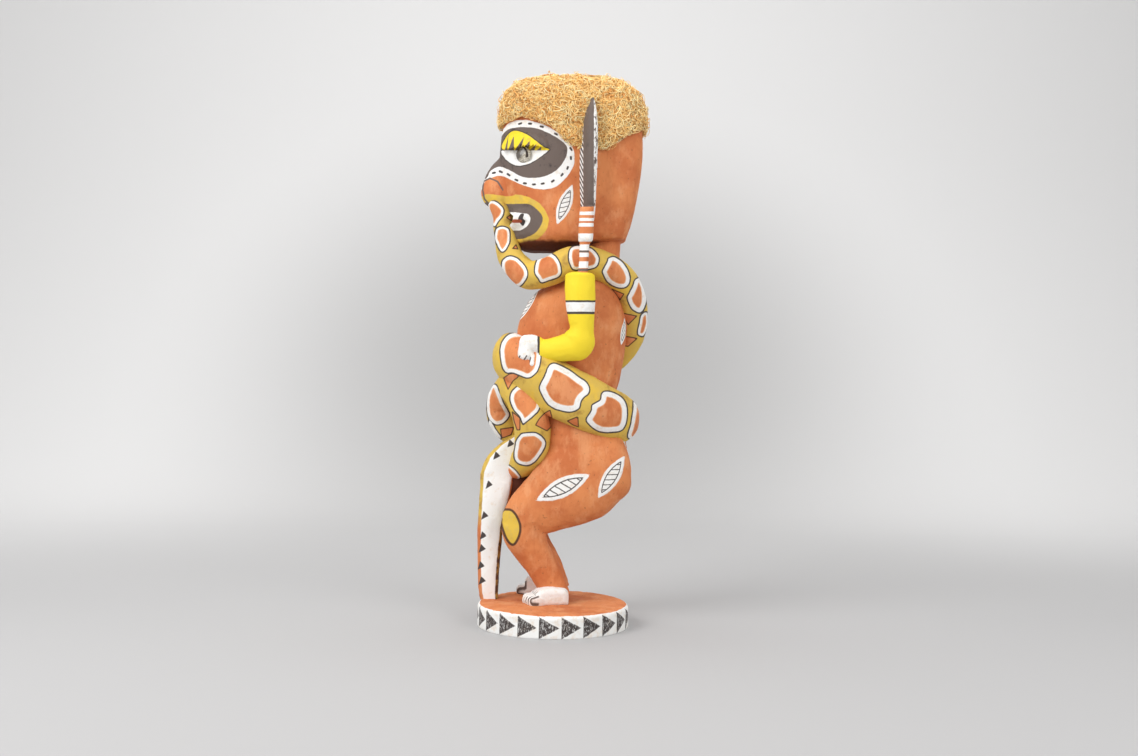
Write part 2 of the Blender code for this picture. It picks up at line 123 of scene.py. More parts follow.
def seen(points):
    """Where points show in the photograph, with the far side seen as the near side's mirror."""
    x = MIDDLE_X + np.abs(points[:, 0] - MIDDLE_X)
    share = (CAMERA_PLACE[0] - x) / FOCAL_PIXELS
    across = (points[:, 1] - CAMERA_PLACE[1]) / share
    down = (CAMERA_PLACE[2] - points[:, 2]) / share
    u = PHOTO_WIDTH / 2 + across - CAMERA_ROLL * down
    v = PHOTO_HEIGHT / 2 + down + CAMERA_ROLL * across
    return np.stack([u, v], axis=1)


def outline_distance(spots, outline):
    """How far each spot lies outside a closed outline, less than 0 inside, and how far along it."""
    best = np.full(len(spots), 1e9)
    along = np.zeros(len(spots))
    inside = np.zeros(len(spots), bool)
    run = 0.0
    for start, end in zip(outline, np.roll(outline, -1, axis=0)):
        edge = end - start
        length = np.hypot(*edge)
        share = np.clip((spots - start) @ edge / length**2, 0, 1)
        gap = np.hypot(*(spots - start - share[:, None] * edge).T)
        nearer = gap < best
        best = np.where(nearer, gap, best)
        along = np.where(nearer, run + share * length, along)
        run += length
        crosses = (start[1] > spots[:, 1]) != (end[1] > spots[:, 1])
        with np.errstate(divide="ignore", invalid="ignore"):
            where = start[0] + (spots[:, 1] - start[1]) * edge[0] / edge[1]
        inside ^= crosses & (spots[:, 0] < where)
    return np.where(inside, -best, best), along


def path_distance(spots, path):
    """How far each spot lies from an open path."""
    best = np.full(len(spots), 1e9)
    path = np.array(path, float)
    for start, end in zip(path, path[1:]):
        edge = end - start
        share = np.clip((spots - start) @ edge / (edge @ edge), 0, 1)
        best = np.minimum(best, np.hypot(*(spots - start - share[:, None] * edge).T))
    return best


# Meshes


def mesh_object(name, points, faces):
    """An object of the points and faces, turned so that its faces point out."""
    data = bpy.data.meshes.new(name)
    data.from_pydata([tuple(point) for point in points], [], [tuple(face) for face in faces])
    made = bpy.data.objects.new(name, data)
    bpy.context.scene.collection.objects.link(made)
    shape = bmesh.new()
    shape.from_mesh(data)
    if shape.calc_volume(signed=True) < 0:
        bmesh.ops.reverse_faces(shape, faces=shape.faces)
        shape.to_mesh(data)
    shape.free()
    return made


def skin(name, rings):
    """A closed surface through rings of points, with a fan at each end."""
    count, sides = rings.shape[:2]
    points = rings.reshape(-1, 3)
    index = np.arange(count * sides).reshape(count, sides)
    after = np.roll(index, -1, axis=1)
    quads = np.stack([index[:-1], after[:-1], after[1:], index[1:]], axis=-1).reshape(-1, 4)
    ends = [rings[0].mean(axis=0), rings[-1].mean(axis=0)]
    first, last = count * sides, count * sides + 1
    faces = quads.tolist()
    faces += [(b, a, first) for a, b in zip(index[0], after[0])]
    faces += [(a, b, last) for a, b in zip(index[-1], after[-1])]
    return mesh_object(name, np.vstack([points, ends]), faces)


def corners(obj):
    """Every point of a mesh, and the direction its surface faces there."""
    count = len(obj.data.vertices)
    points = np.empty(count * 3, np.float32)
    normals = np.empty(count * 3, np.float32)
    obj.data.vertices.foreach_get("co", points)
    obj.data.vertices.foreach_get("normal", normals)
    return points.reshape(-1, 3).astype(float), normals.reshape(-1, 3).astype(float)


def move_points(obj, points):
    obj.data.vertices.foreach_set("co", points.astype(np.float32).ravel())
    obj.data.update()


def note(obj, name, values):
    """Stores one number a point, which the materials read by its name."""
    layer = obj.data.attributes.new(name, "FLOAT", "POINT")
    layer.data.foreach_set("value", np.asarray(values, np.float32))


def evened(obj):
    """Bakes an object's modifiers into its mesh."""
    graph = bpy.context.evaluated_depsgraph_get()
    baked = bpy.data.meshes.new_from_object(obj.evaluated_get(graph))
    obj.modifiers.clear()
    obj.data = baked
    return obj


def cut(target, cutters):
    """Cuts copies of the cutters from the target."""
    for cutter in cutters:
        step = target.modifiers.new("cut", "BOOLEAN")
        step.operation = "DIFFERENCE"
        step.solver = "EXACT"
        step.object = cutter
    bpy.context.view_layer.update()
    return evened(target)


def melded(name, parts, voxel, rounds):
    """One closed surface round all the parts, its creases softened by rounds of smoothing."""
    shape = bmesh.new()
    for part in parts:
        shape.from_mesh(part.data)
        bpy.data.objects.remove(part)
    data = bpy.data.meshes.new(name)
    shape.to_mesh(data)
    shape.free()
    made = bpy.data.objects.new(name, data)
    bpy.context.scene.collection.objects.link(made)
    wrap = made.modifiers.new("wrap", "REMESH")
    wrap.mode = "VOXEL"
    wrap.voxel_size = voxel
    soften = made.modifiers.new("soften", "SMOOTH")
    soften.factor = 0.5
    soften.iterations = rounds
    bpy.context.view_layer.update()
    return evened(made)


def facet(obj, spacing, share, seed):
    """Flattens the surface a little between random spots, as a blade leaves it."""
    points, normals = corners(obj)
    area = sum(face.area for face in obj.data.polygons)
    chance = np.random.default_rng(seed)
    picked = chance.choice(len(points), max(8, int(area / spacing**2)), replace=False)
    tree = KDTree(len(picked))
    for order, spot in enumerate(points[picked]):
        tree.insert(spot, order)
    tree.balance()
    nearest = picked[[tree.find(point)[1] for point in points]]
    height = np.einsum("ij,ij->i", points - points[nearest], normals[nearest])
    height = np.clip(height, -spacing * 0.1, spacing * 0.1)
    move_points(obj, points - normals[nearest] * (height * share)[:, None])


def roughen(obj, size, depth, seed, stretch=(1, 1, 1)):
    """Lumps of the given size and depth over the whole surface."""
    points, normals = corners(obj)
    lumps = field(points / np.array(stretch), size, seed)
    move_points(obj, points + normals * (lumps * depth)[:, None])


# For each kind of carved piece: the grain and the rounds of smoothing that meld its parts, then the spacing,
# share and seed of its blade facets, then its lumps by size, depth, seed and stretch.
CARVING = {
    "body": ((0.0021, 4), (0.013, 0.45, 3), (0.022, 0.0006, 5), (0.005, 0.00016, 6, (1, 1, 2.5))),
    "foot": ((0.0009, 2), (0.008, 0.35, 13), (0.004, 0.0002, 14)),
    "arm": ((0.0013, 2), (0.009, 0.4, 23), (0.012, 0.0003, 24)),
    "snake": (None, (0.012, 0.35, 31), (0.015, 0.0005, 32)),
    "tail": (None, (0.014, 0.4, 41), (0.02, 0.0006, 42)),
    "head": ((0.0016, 3), (0.017, 0.4, 51), (0.03, 0.0006, 52), (0.005, 0.00012, 53, (1, 1, 3))),
    "ear_board": ((0.0013, 2), (0.010, 0.4, 61), (0.01, 0.0003, 62)),
}


def carved(kind, name, parts, side=0):
    """A carved piece and its points: its parts as one surface, with blade facets and lumps."""
    meld, (spacing, share, seed), *lumps = CARVING[kind]
    made = melded(name, parts, *meld) if meld else parts[0]
    facet(made, spacing, share, seed + side)
    for lump in lumps:
        roughen(made, *lump)
    return made, corners(made)[0]


def sided(name, side):
    return ("left_" if side > 0 else "right_") + name


def in_units(points):
    """The numbers that place() would turn into these points."""
    return (points - place((0, 0, 0))) / UNIT


# Forms shared by the carved pieces


def powered(angle, power):
    """Cosine and sine of angles, pushed out towards a square as the power grows past 2."""
    c, s = np.cos(angle), np.sin(angle)
    return np.sign(c) * np.abs(c) ** (2 / power), np.sign(s) * np.abs(s) ** (2 / power)


def level_rings(rows, sides, shift=0.0):
    """Level rings from rows of (z, front, back, half width, front power, back power)."""
    z, front, back, half, front_power, back_power = (rows[:, i : i + 1] for i in range(6))
    angle = np.linspace(0, 2 * np.pi, sides, endpoint=False)[None, :]
    ahead = np.sin(angle) < 0
    c, s = powered(angle, np.where(ahead, front_power, back_power))
    widest = front + (back - front) * WIDEST
    reach = np.where(ahead, widest - front, back - widest)
    x = c * half + shift
    return place(np.stack([x, widest + s * reach, z + 0 * x], axis=-1))


def rod_rings(route, sides, steps, away_from=(0, 20), tip=0.35):
    """Rings along rows of (x, y, z, outward radius, side radius), closed by round tips."""
    rows = between(route, steps)
    centres, radii = rows[:, :3], rows[:, 3:5]
    along = np.gradient(centres, axis=0)
    along /= np.linalg.norm(along, axis=1)[:, None]
    out = np.stack([centres[:, 0] - away_from[0], centres[:, 1] - away_from[1], 0 * centres[:, 0]], axis=1)
    out -= along * np.einsum("ij,ij->i", out, along)[:, None]
    out /= np.linalg.norm(out, axis=1)[:, None]
    across = np.cross(along, out)
    angle = np.linspace(0, 2 * np.pi, sides, endpoint=False)
    turn = out[:, None] * (np.cos(angle)[None, :, None] * radii[:, None, :1])
    turn = turn + across[:, None] * (np.sin(angle)[None, :, None] * radii[:, None, 1:])
    rings = centres[:, None] + turn
    tips = {0: [], -1: []}
    for bend in np.linspace(0, np.pi / 2, 6)[1:-1]:
        for end, way in ((0, -1), (-1, 1)):
            bulge = along[end] * way * tip * 2.2 * radii[end, 1] * math.sin(bend)
            tips[end].append(rings[end] + bulge + turn[end] * (math.cos(bend) - 1))
    return place(np.array(tips[0][::-1] + list(rings) + tips[-1]))


def oval_rings(centre, radii, turn=0.0, sides=64, count=40, lower=-1.0):
    """Level rings of an ellipsoid turned about the upright axis, from a share of its height to its top."""
    tilt = np.linspace(math.asin(lower), math.pi / 2, count)[int(lower <= -1) : -1, None]
    angle = np.linspace(0, 2 * np.pi, sides, endpoint=False)[None, :]
    x = radii[0] * np.cos(tilt) * np.cos(angle)
    y = radii[1] * np.cos(tilt) * np.sin(angle)
    z = radii[2] * np.sin(tilt) + 0 * angle
    c, s = math.cos(turn), math.sin(turn)
    return place(np.stack([centre[0] + x * c - y * s, centre[1] + x * s + y * c, centre[2] + z], axis=-1))


# The body, from the neck to the ankles

TORSO = (
    (178, -18, 92, 50, 2.2, 2.4), (200, -24, 96, 58, 2.2, 2.4), (222, -27, 92, 58, 2.2, 2.4),
    (245, -29, 84, 53, 2.2, 2.4), (268, -34, 78, 47, 2.2, 2.4), (295, -41, 84, 49, 2.2, 2.3),
    (322, -48, 89, 53, 2.2, 2.2), (349, -53, 92, 56, 2.2, 2.2), (372, -52, 93, 57, 2.2, 2.2),
    (396, -42, 88, 56, 2.1, 2.2), (416, -25, 82, 51, 2.1, 2.1), (432, -2, 79, 44, 2.1, 2.1),
    (446, 20, 80, 36, 2.1, 2.1), (457, 36, 82, 29, 2.2, 2.2), (475, 41, 83, 27, 2.3, 2.3),
    (500, 41, 84, 27, 2.3, 2.3),
)
THIGH = (
    (101, 158, 180, 22, 14), (97, 148, 200, 24, 24), (86, 137, 222, 27, 30), (66, 117, 236, 29, 33),
    (40, 106, 238, 30, 33), (12, 98, 228, 31, 30), (-10, 92, 205, 32, 26), (-32, 87, 172, 33, 23),
    (-48, 86, 152, 33, 20), (-58, 92, 139, 33, 15), (-68, 102, 119, 33, 8),
)
SHIN = (
    (14, -18, 22, 25, 15), (28, -27, 17, 25, 15), (44, -38, 11, 27, 16), (62, -53, 2, 29, 18),
    (80, -65, -8, 31, 20), (100, -70, -15, 32, 20), (114, -66, -20, 32, 16),
)
WEB = (
    (114, -80, -58, 4), (134, -84, -46, 7), (160, -84, -26, 9), (194, -78, -4, 10),
)
# Bounds of the web's dark paint, a painted shade where the web between tail and belly lies in shadow.
WEB_HALF = 11
WEB_BACK = -30
WEB_LOW = 104
WEB_TOP = 206
KNEE_BACK = -30
KNEE_INNER = 10
KNEE_PATCH = (
    (503, 512), (508, 510.5), (512, 512), (516.5, 518), (519.3, 527), (518, 536), (513.5, 543.5),
    (509, 541), (505, 533), (502, 522),
)
LEAF_SIDES = (
    ((536.0, 500.5), (590.0, 474.5), 9.5),
    ((624.6, 456.0), (598.0, 498.4), 8.0),
    ((539.0, 288.0), (518.0, 322.0), 2.6),
)
LEAF_BACKS = (
    (26, 97, 205, 19, 8.0), (-26, 97, 205, 19, 8.0), (22, 92, 362, 20, 8.0), (-22, 92, 362, 20, 8.0),
)


def thigh(side):
    rows = between(THIGH, 8)
    angle = np.linspace(0, 2 * np.pi, 96, endpoint=False)[None, :]
    c, s = powered(angle, 2.3)
    y, bottom, top, centre, half = (rows[:, i : i + 1] for i in range(5))
    x = side * (centre + c * half)
    z = (bottom + top) / 2 + s * (top - bottom) / 2
    return skin("thigh", place(np.stack([x, y + 0 * x, z], axis=-1)))


def shin(side):
    rows = between([(z, front, back, half, 2.3, 2.3) for z, front, back, _, half in SHIN], 8)
    centre = between([(row[3], 0) for row in SHIN], 8)[:, :1]
    return skin("shin", level_rings(rows, 64, side * centre))


def leaf_notes(obj, sides, backs=()):
    """Notes how far out of the nearest leaf and its heart each point lies, and its place along the bars."""
    points, normals = corners(obj)
    spots = seen(points)
    leaf = np.full(len(points), 9.0)
    heart = np.full(len(points), 9.0)
    bars = np.zeros(len(points))
    found = []
    for start, end, half in sides:
        start, end = np.array(start), np.array(end)
        middle = (start + end) / 2
        axis = (end - start) / 2
        length = np.hypot(*axis)
        turned = np.array((-axis[1], axis[0])) / length
        p = (spots - middle) @ axis / length**2
        q = (spots - middle) @ turned / half
        found.append((p, q, np.abs(normals[:, 0]) > 0.12))
    for x, y, z, length, half in backs:
        centre = place((x, y, z))
        lean = 0.25 * (1 if x > 0 else -1)
        p = ((points[:, 2] - centre[2]) - lean * (points[:, 0] - centre[0])) / (length * UNIT)
        q = ((points[:, 0] - centre[0]) + lean * (points[:, 2] - centre[2])) / (half * UNIT)
        found.append((p, q, normals[:, 1] > 0.35))
    for p, q, shows in found:
        size = np.where(shows, np.abs(q) + p * p, 9.0)
        inner = np.where(shows, np.abs(q) / 0.62 + (np.abs(p) / 0.76) ** 2, 9.0)
        bars = np.where(size < leaf, p * 4.2 - q * 0.9, bars)
        leaf = np.minimum(leaf, size)
        heart = np.minimum(heart, inner)
    note(obj, "leaf", np.minimum(leaf, 3))
    note(obj, "leaf_heart", np.minimum(heart, 3))
    note(obj, "leaf_bars", bars)


def body():
    parts = [skin("torso", level_rings(between(TORSO, 8), 128))]
    parts.append(skin("web", level_rings(between([(*row, 2.6, 2.6) for row in WEB], 8), 48)))
    for side in (1, -1):
        parts += [thigh(side), shin(side)]
    made, points = carved("body", "carved_body", parts)
    leaf_notes(made, LEAF_SIDES, LEAF_BACKS)
    x, y, z = in_units(points).T
    # The web's note places its painted shade: deep umber over the wood between tail and belly.
    aside = np.clip(np.maximum(np.abs(x) - WEB_HALF, y - WEB_BACK), -9, 9)
    note(made, "web", aside + np.where((z > WEB_LOW) & (z < WEB_TOP), 0, 20))
    knee = outline_distance(seen(points), round_trip(KNEE_PATCH, 4))[0]
    note(made, "knee", np.where((y < KNEE_BACK) & (np.abs(x) > KNEE_INNER), knee, 20))
    return made


# Feet

HEEL = (29, 18)
TOE_ROOT = (39, -25)
RIGHT_FOOT_SHIFT = (8, -11)
RIGHT_FOOT_RISE = 1.4
FOOT = (
    (0.0, 17, 11), (0.12, 21, 15), (0.45, 23, 16), (0.75, 22, 17), (1.0, 16, 18),
)
TOES = 5
TOE_PITCH = 7.0
TOE_REACH = 13
TOE_STEP = 1.6
LONGEST_TOE = 1.2


def foot(side):
    """A splayed foot, with a row of toes along its front. The right one stands ahead."""
    sole = -SOLE_SINK / UNIT
    shift = np.array(RIGHT_FOOT_SHIFT, float) if side < 0 else np.zeros(2)
    rise = RIGHT_FOOT_RISE if side < 0 else 1
    heel = np.array(HEEL) + shift
    ball = np.array(TOE_ROOT) + shift
    along = (ball - heel) / np.hypot(*(ball - heel))
    across = np.array((-along[1], along[0]))
    share, tall, wide = (between(FOOT, 8)[:, i : i + 1] for i in range(3))
    c, s = powered(np.linspace(0, 2 * np.pi, 48, endpoint=False)[None, :], 3.4)
    x = heel[0] + (ball - heel)[0] * share + across[0] * c * wide
    y = heel[1] + (ball - heel)[1] * share + across[1] * c * wide
    z = sole + (tall * rise - sole) * (1 + s) / 2
    parts = [skin("sole", place(np.stack([side * x, y, z], axis=-1)))]
    for toe in range(TOES):
        root = ball + across * (toe - (TOES - 1) / 2) * TOE_PITCH - along * 4
        tip = root + along * (TOE_REACH - abs(toe - LONGEST_TOE) * TOE_STEP)
        spots = [(side * root[0], root[1], 5.5, 4.4, 8.5), (side * tip[0], tip[1], 4.5, 4.1, 7.5)]
        parts.append(skin("toe", rod_rings(spots, 24, 6, (side * ball[0] * 2, 60))))
    made, points = carved("foot", sided("foot", side), parts, side)
    flat = in_units(points)[:, :2] * np.array((side, 1)) - ball
    note(made, "toe_across", (flat @ across) / TOE_PITCH + TOES / 2)
    note(made, "toe_along", flat @ along)
    note(made, "above", (points[:, 2] - DISC_THICKNESS) / UNIT / rise)
    return made


# Arms and hands

ARM = (
    (75, 29, 431, 14, 19), (76, 29.5, 404, 15, 19.5), (76, 31, 378, 14, 17), (75, 32, 362, 14, 15.5),
    (75, 27.5, 344, 15, 21.5), (72, 12, 338, 14, 17.5), (66, -6, 335, 14, 15.5), (62, -19, 335, 12, 13),
)
SHOULDER_TIP = 0.12
PALM = (
    (61, -17, 336, 10, 12), (64, -31, 342, 9.5, 12), (65, -41, 343, 8.5, 10.5),
)
KNUCKLES = (
    (65, -39, 345, 8.5, 9.5), (66, -41, 328, 8, 11),
)
FINGERS = 4
FINGER_ROOTS = ((61, -48, 327), (70, -31.5, 327))
FINGER_TIPS = ((60, -52, 318), (73, -31, 315))
FINGER_BOW = 6
FINGER_RADIUS = 3.6
ARMBAND_TOP = 302.2
ARMBAND_LOW = 311.7
WRIST = 538.6
FOREARM_START = 325
HAND_STROKES = (
    ((519.9, 356.0), (517.4, 360.4)),
    ((526.8, 355.7), (524.2, 359.6), (521.0, 364.4)),
    ((530.7, 357.5), (529.6, 361.5), (528.2, 365.0)),
)


def arm(side):
    """A bent arm, with its hand laid on the snake."""
    rods = []
    for route in (ARM, PALM, KNUCKLES):
        rods.append([(side * x, y, z, out, wide) for x, y, z, out, wide in route])
    parts = [skin("arm", rod_rings(rods[0], 64, 8, tip=SHOULDER_TIP))]
    parts += [skin("palm", rod_rings(rod, 48, 8)) for rod in rods[1:]]
    for finger in range(FINGERS):
        share = finger / (FINGERS - 1)
        ends = np.array((FINGER_ROOTS, FINGER_TIPS), float)
        root, tip = ends[:, 0] + (ends[:, 1] - ends[:, 0]) * share
        tip[2] -= FINGER_BOW * math.sin(math.pi * share)
        spots = [(side * x, y, z, FINGER_RADIUS, FINGER_RADIUS) for x, y, z in (root, tip)]
        parts.append(skin("finger", rod_rings(spots, 20, 6)))
    made, points = carved("arm", sided("arm", side), parts, side)
    spots = seen(points)
    note(made, "photo_u", spots[:, 0])
    note(made, "photo_v", spots[:, 1])
    note(made, "stroke", np.min([path_distance(spots, stroke) for stroke in HAND_STROKES], axis=0))
    return made


# The snake

SNAKE = (
    (0, -91, 551, 11, 11), (1, -86, 540, 13, 13), (5, -76, 518, 14, 14), (11, -72, 492, 15, 15),
    (22, -63, 458, 17, 17), (36, -40, 435, 19, 19), (47, -12, 438, 19, 19), (51, 12, 449, 20, 20),
    (50, 37, 452, 20, 20), (40, 62, 445, 20, 20), (24, 84, 431, 20, 20), (7, 97, 410, 20, 21),
    (-12, 101, 385, 21, 22), (-32, 96, 358, 22, 24), (-50, 78, 336, 22, 26), (-63, 48, 324, 22, 28),
    (-66, 10, 320, 23, 30), (-57, -30, 320, 24, 32), (-32, -54, 324, 25, 33), (0, -62, 325, 25, 34),
    (30, -53, 320, 25, 34), (50, -28, 303, 25, 35), (58, 5, 282, 24, 36), (56, 38, 267, 24, 35),
    (42, 66, 254, 25, 34), (16, 84, 246, 26, 33), (-16, 84, 245, 26, 31), (-42, 66, 243, 25, 31),
    (-57, 34, 240, 24, 30), (-58, 0, 234, 23, 28), (-50, -34, 226, 21, 24), (-38, -60, 226, 20, 21),
    (-32, -74, 242, 20, 20), (-28, -75, 262, 21, 21), (-10, -63, 281, 23, 22), (14, -53, 285, 26, 23),
    (35, -43, 276, 26, 24), (45, -35, 254, 24, 24), (42, -30, 228, 24, 24), (34, -32, 203, 23, 23),
    (16, -43, 184, 19, 19), (5, -53, 174, 12, 13),
)
SNAKE_STEPS = 18
SNAKE_SIDES = 80
# Each row: how wide a spot's white ring is, then its outline, in pixels of the photo.
SNAKE_SPOTS = (
    (4.0, (486, 205), (490, 200.5), (495, 200.5), (500.5, 204), (504.5, 210), (503, 216.5), (498.5, 222),
     (495, 227), (489, 222)),
    (3.6, (494, 238), (495, 230), (497.5, 227), (502, 225.8), (507, 227), (510, 230), (510.5, 237),
     (510, 243), (507, 249), (503, 252.5), (499.5, 251), (496.5, 245)),
    (4.4, (501, 263), (504.5, 257.5), (511, 255.5), (518, 258), (524, 264), (527.5, 270), (528, 276),
     (525, 282), (520, 287), (512, 288), (503, 277)),
    (4.4, (534, 270), (535.5, 262), (538.5, 256.5), (543, 253.5), (550, 252.5), (556, 256), (560, 262),
     (562, 270), (561, 275), (557, 278.5), (549, 281), (541.5, 283.5), (538, 279), (535, 274.5)),
    (4.4, (568, 255), (569.5, 249), (573, 245.8), (580, 245), (590, 247), (595, 250.5), (599, 256),
     (599.5, 261), (597, 267), (591, 269.5), (583, 270.5), (573, 270), (569, 263)),
    (5.2, (602, 272), (604, 266.5), (607, 261), (608, 258), (613, 256), (619, 258.5), (624, 263),
     (628.5, 270), (630.5, 277), (629.5, 284), (625.5, 288), (619, 288.5), (612, 286), (606, 281)),
    (5.6, (626.5, 298), (629, 292.5), (632, 286), (635, 279), (642, 278), (647, 292), (646, 306),
     (641, 313), (635, 312), (630, 307)),
    (4.0, (637.5, 334), (638.5, 324), (641, 314), (648, 312), (650, 325), (645, 336)),
    (5.4, (499.5, 352), (501, 343), (505.5, 336), (512, 332.5), (521, 332), (531, 334), (538, 340),
     (541, 350), (541, 361), (538.5, 370), (533, 376.5), (527, 378.5), (520, 376), (513, 373.5),
     (505.5, 373), (501.5, 366)),
    (4.8, (509.5, 398), (511, 392), (515.5, 387), (520, 385), (526, 386), (532, 389), (538, 396),
     (541, 403), (539, 411), (534, 416), (527, 422), (523, 425), (521, 421), (519.5, 417), (514, 411),
     (510.5, 404)),
    (7.2, (539, 389), (540.5, 383), (545, 374), (547.5, 367), (551, 363.5), (556, 363), (563, 366),
     (572, 371), (580, 377), (587, 382), (590, 388), (589, 394), (584, 398), (581, 403), (580, 408),
     (576, 411), (569, 412.5), (560, 411), (553, 408.5), (547, 404), (543, 398)),
    (6.4, (585.5, 420), (588, 415), (591, 410), (591.5, 405), (596, 402), (600, 399.5), (601, 394),
     (604, 391), (610, 391), (618, 394), (624, 399), (627, 405), (628, 412), (627, 422), (624, 429),
     (619, 432), (610, 433), (601, 432.5), (594, 429.5), (589, 425)),
    (4.8, (489, 386), (496, 384), (500, 392), (503, 400), (507, 409), (509, 415), (507, 420), (503, 424),
     (498, 426), (492, 425), (485, 417), (484, 400)),
    (9.0, (487, 420), (491, 424), (495, 431), (500, 438.5), (497, 442), (490, 436), (485, 428)),
    (4.6, (521, 433.5), (527, 432.5), (534, 432), (540, 434.5), (545, 439.5), (546, 445), (543, 452),
     (538, 459), (533, 464), (527, 466), (520, 465), (515, 461), (513.5, 455), (514.5, 447), (516, 440)),
    (3.4, (507, 465), (511, 466), (517, 471.5), (521, 477.5), (516, 483), (508, 483), (503, 474)),
    (4.8, (633, 400), (632.5, 410), (630, 425), (627, 436), (632, 441), (642, 438), (647, 420), (645, 402),
     (638, 397)),
)
# Three-cornered patches of bare terracotta between the spots, in pixels of the photo.
SNAKE_WEDGES = (
    ((506.5, 217.5), (511, 214.5), (511.5, 221)),
    ((512.5, 248.5), (516, 244.5), (518, 249)),
    ((612, 289), (624, 294), (620, 300)),
    ((622, 313), (637, 316), (628, 325)),
    ((626, 336), (638, 338), (629, 346), (624, 345)),
    ((503.5, 378), (509, 374), (515, 373), (520, 375.5), (513, 381), (508, 389.5)),
    ((535.5, 425), (539, 419), (544, 413.5), (550, 410), (552, 417), (551, 427), (547, 431)),
    ((567, 421), (578, 416.5), (578.5, 427), (573, 425)),
    ((512, 411.5), (520, 418), (520, 430), (517, 430), (514, 421)),
    ((499, 430), (513, 428), (510, 436), (500, 440)),
)
SPOT_REACH = 0.05
HIDDEN_SPOT_PITCH = 0.048
HIDDEN_SPOT_TURNS = (0.0, math.pi * 0.66, -math.pi * 0.66)
SPOT_GAP_ALONG = 0.047
SPOT_GAP_ACROSS = 0.036
SNAKE_MIDDLE = 560
SNAKE_HALF = 95


def snake():
    """The whole snake, painted with ringed spots."""
    rings = rod_rings(SNAKE, SNAKE_SIDES, SNAKE_STEPS)
    made, points = carved("snake", "snake", [skin("snake", rings)])
    normals = corners(made)[1]
    count = rings.shape[0] * SNAKE_SIDES
    middles = rings.mean(axis=1)
    run = np.concatenate([[0], np.cumsum(np.linalg.norm(np.diff(middles, axis=0), axis=1))])
    steps = np.linalg.norm(np.diff(rings, axis=0), axis=2)
    lines = np.concatenate([np.zeros((1, SNAKE_SIDES)), np.cumsum(steps, axis=0)])
    radius = np.linalg.norm(rings - middles[:, None], axis=2).mean(axis=1)
    station = np.append(np.repeat(np.arange(len(rings)), SNAKE_SIDES), [0, len(rings) - 1])
    side = np.append(np.tile(np.arange(SNAKE_SIDES), len(rings)), [0, 0])
    turn = side * 2 * np.pi / SNAKE_SIDES
    seen_at = seen(points)
    pixel = (CAMERA_PLACE[0] - 0.02) / FOCAL_PIXELS
    near = (normals[:, 0] > 0.15) & (points[:, 0] > MIDDLE_X - 0.02)
    edge = np.full(len(points), 20.0)
    heart = np.full(len(points), 20.0)
    taken = []

    def ring_share(at, angle, half_along, half_across):
        along = (lines[station, side] - lines[at, side]) / half_along
        across = ((turn - angle + np.pi) % (2 * np.pi) - np.pi) * radius[station] / half_across
        return (np.abs(along) ** 2.7 + np.abs(across) ** 2.7) ** (1 / 2.7)

    for ring, *outline in SNAKE_SPOTS:
        outline = round_trip(outline, 3)
        middle = (outline.max(axis=0) + outline.min(axis=0)) / 2
        gap = np.hypot(*(seen_at - middle).T)
        best = int(np.argmin((np.where(near, gap, 1e3) - points[:, 0] * 60)[:count]))
        at = station[best]
        taken.append((run[at], turn[best]))
        inside = outline_distance(seen_at, outline)[0]
        half = np.sqrt(np.prod(np.ptp(outline, axis=0))) / 2
        beyond = (ring_share(at, turn[best], half * pixel, half * pixel) - 1) * half
        value = np.where(normals[:, 0] > 0.02, inside, np.maximum(beyond, -half))
        value = np.where(np.abs(run[station] - run[at]) < SPOT_REACH, value, 20.0)
        edge = np.minimum(edge, value)
        heart = np.minimum(heart, value + ring)
    shown = (normals[:, 0] > 0.05) & (np.abs(seen_at[:, 0] - SNAKE_MIDDLE) < SNAKE_HALF)
    for at in np.arange(run[0] + 0.03, run[-1] - 0.03, HIDDEN_SPOT_PITCH):
        there = int(np.searchsorted(run, at))
        for angle in HIDDEN_SPOT_TURNS:
            across = [abs((angle - t + math.pi) % (2 * math.pi) - math.pi) * radius[there] for _, t in taken]
            along = [abs(at - other) for other, _ in taken]
            if any(a < SPOT_GAP_ALONG and b < SPOT_GAP_ACROSS for a, b in zip(along, across)):
                continue
            taken.append((at, angle))
            half = radius[there] * 0.8 / pixel
            value = (ring_share(there, angle, 0.020, radius[there] * 0.8) - 1) * half
            hidden = (np.abs(run[station] - at) < SPOT_REACH) & ~shown
            value = np.where(hidden, np.maximum(value, -half), 20.0)
            edge = np.minimum(edge, value)
            heart = np.minimum(heart, value + 0.36 * half)
    note(made, "spot", np.minimum(edge, 20))
    note(made, "spot_heart", np.minimum(heart, 20))
    wedges = np.min([outline_distance(seen_at, np.array(wedge, float))[0] for wedge in SNAKE_WEDGES], axis=0)
    note(made, "wedge", np.where(normals[:, 0] > 0, wedges, 20))
    return made


# The tail

TAIL = (
    (-4, -97, -74, 0.80), (8, -100, -75, 0.86), (34, -102, -74, 0.95), (66, -103, -72, 1.0),
    (96, -103, -69, 1.05), (124, -102, -63, 1.08), (148, -101, -58, 1.08), (170, -100, -55, 1.04),
    (190, -92, -50, 0.98), (206, -78, -42, 0.92), (220, -58, -30, 0.75),
)
TAIL_TEETH = (
    (510, 443), (496, 455), (488.5, 484), (484, 515), (482.5, 535), (481.5, 548), (480.5, 565),
    (481.5, 580),
)
TOOTH = ((-3, 5), (-0.5, -4), (4.5, 1))
TAIL_EDGE_END = 520
TAIL_BACK_START = 506


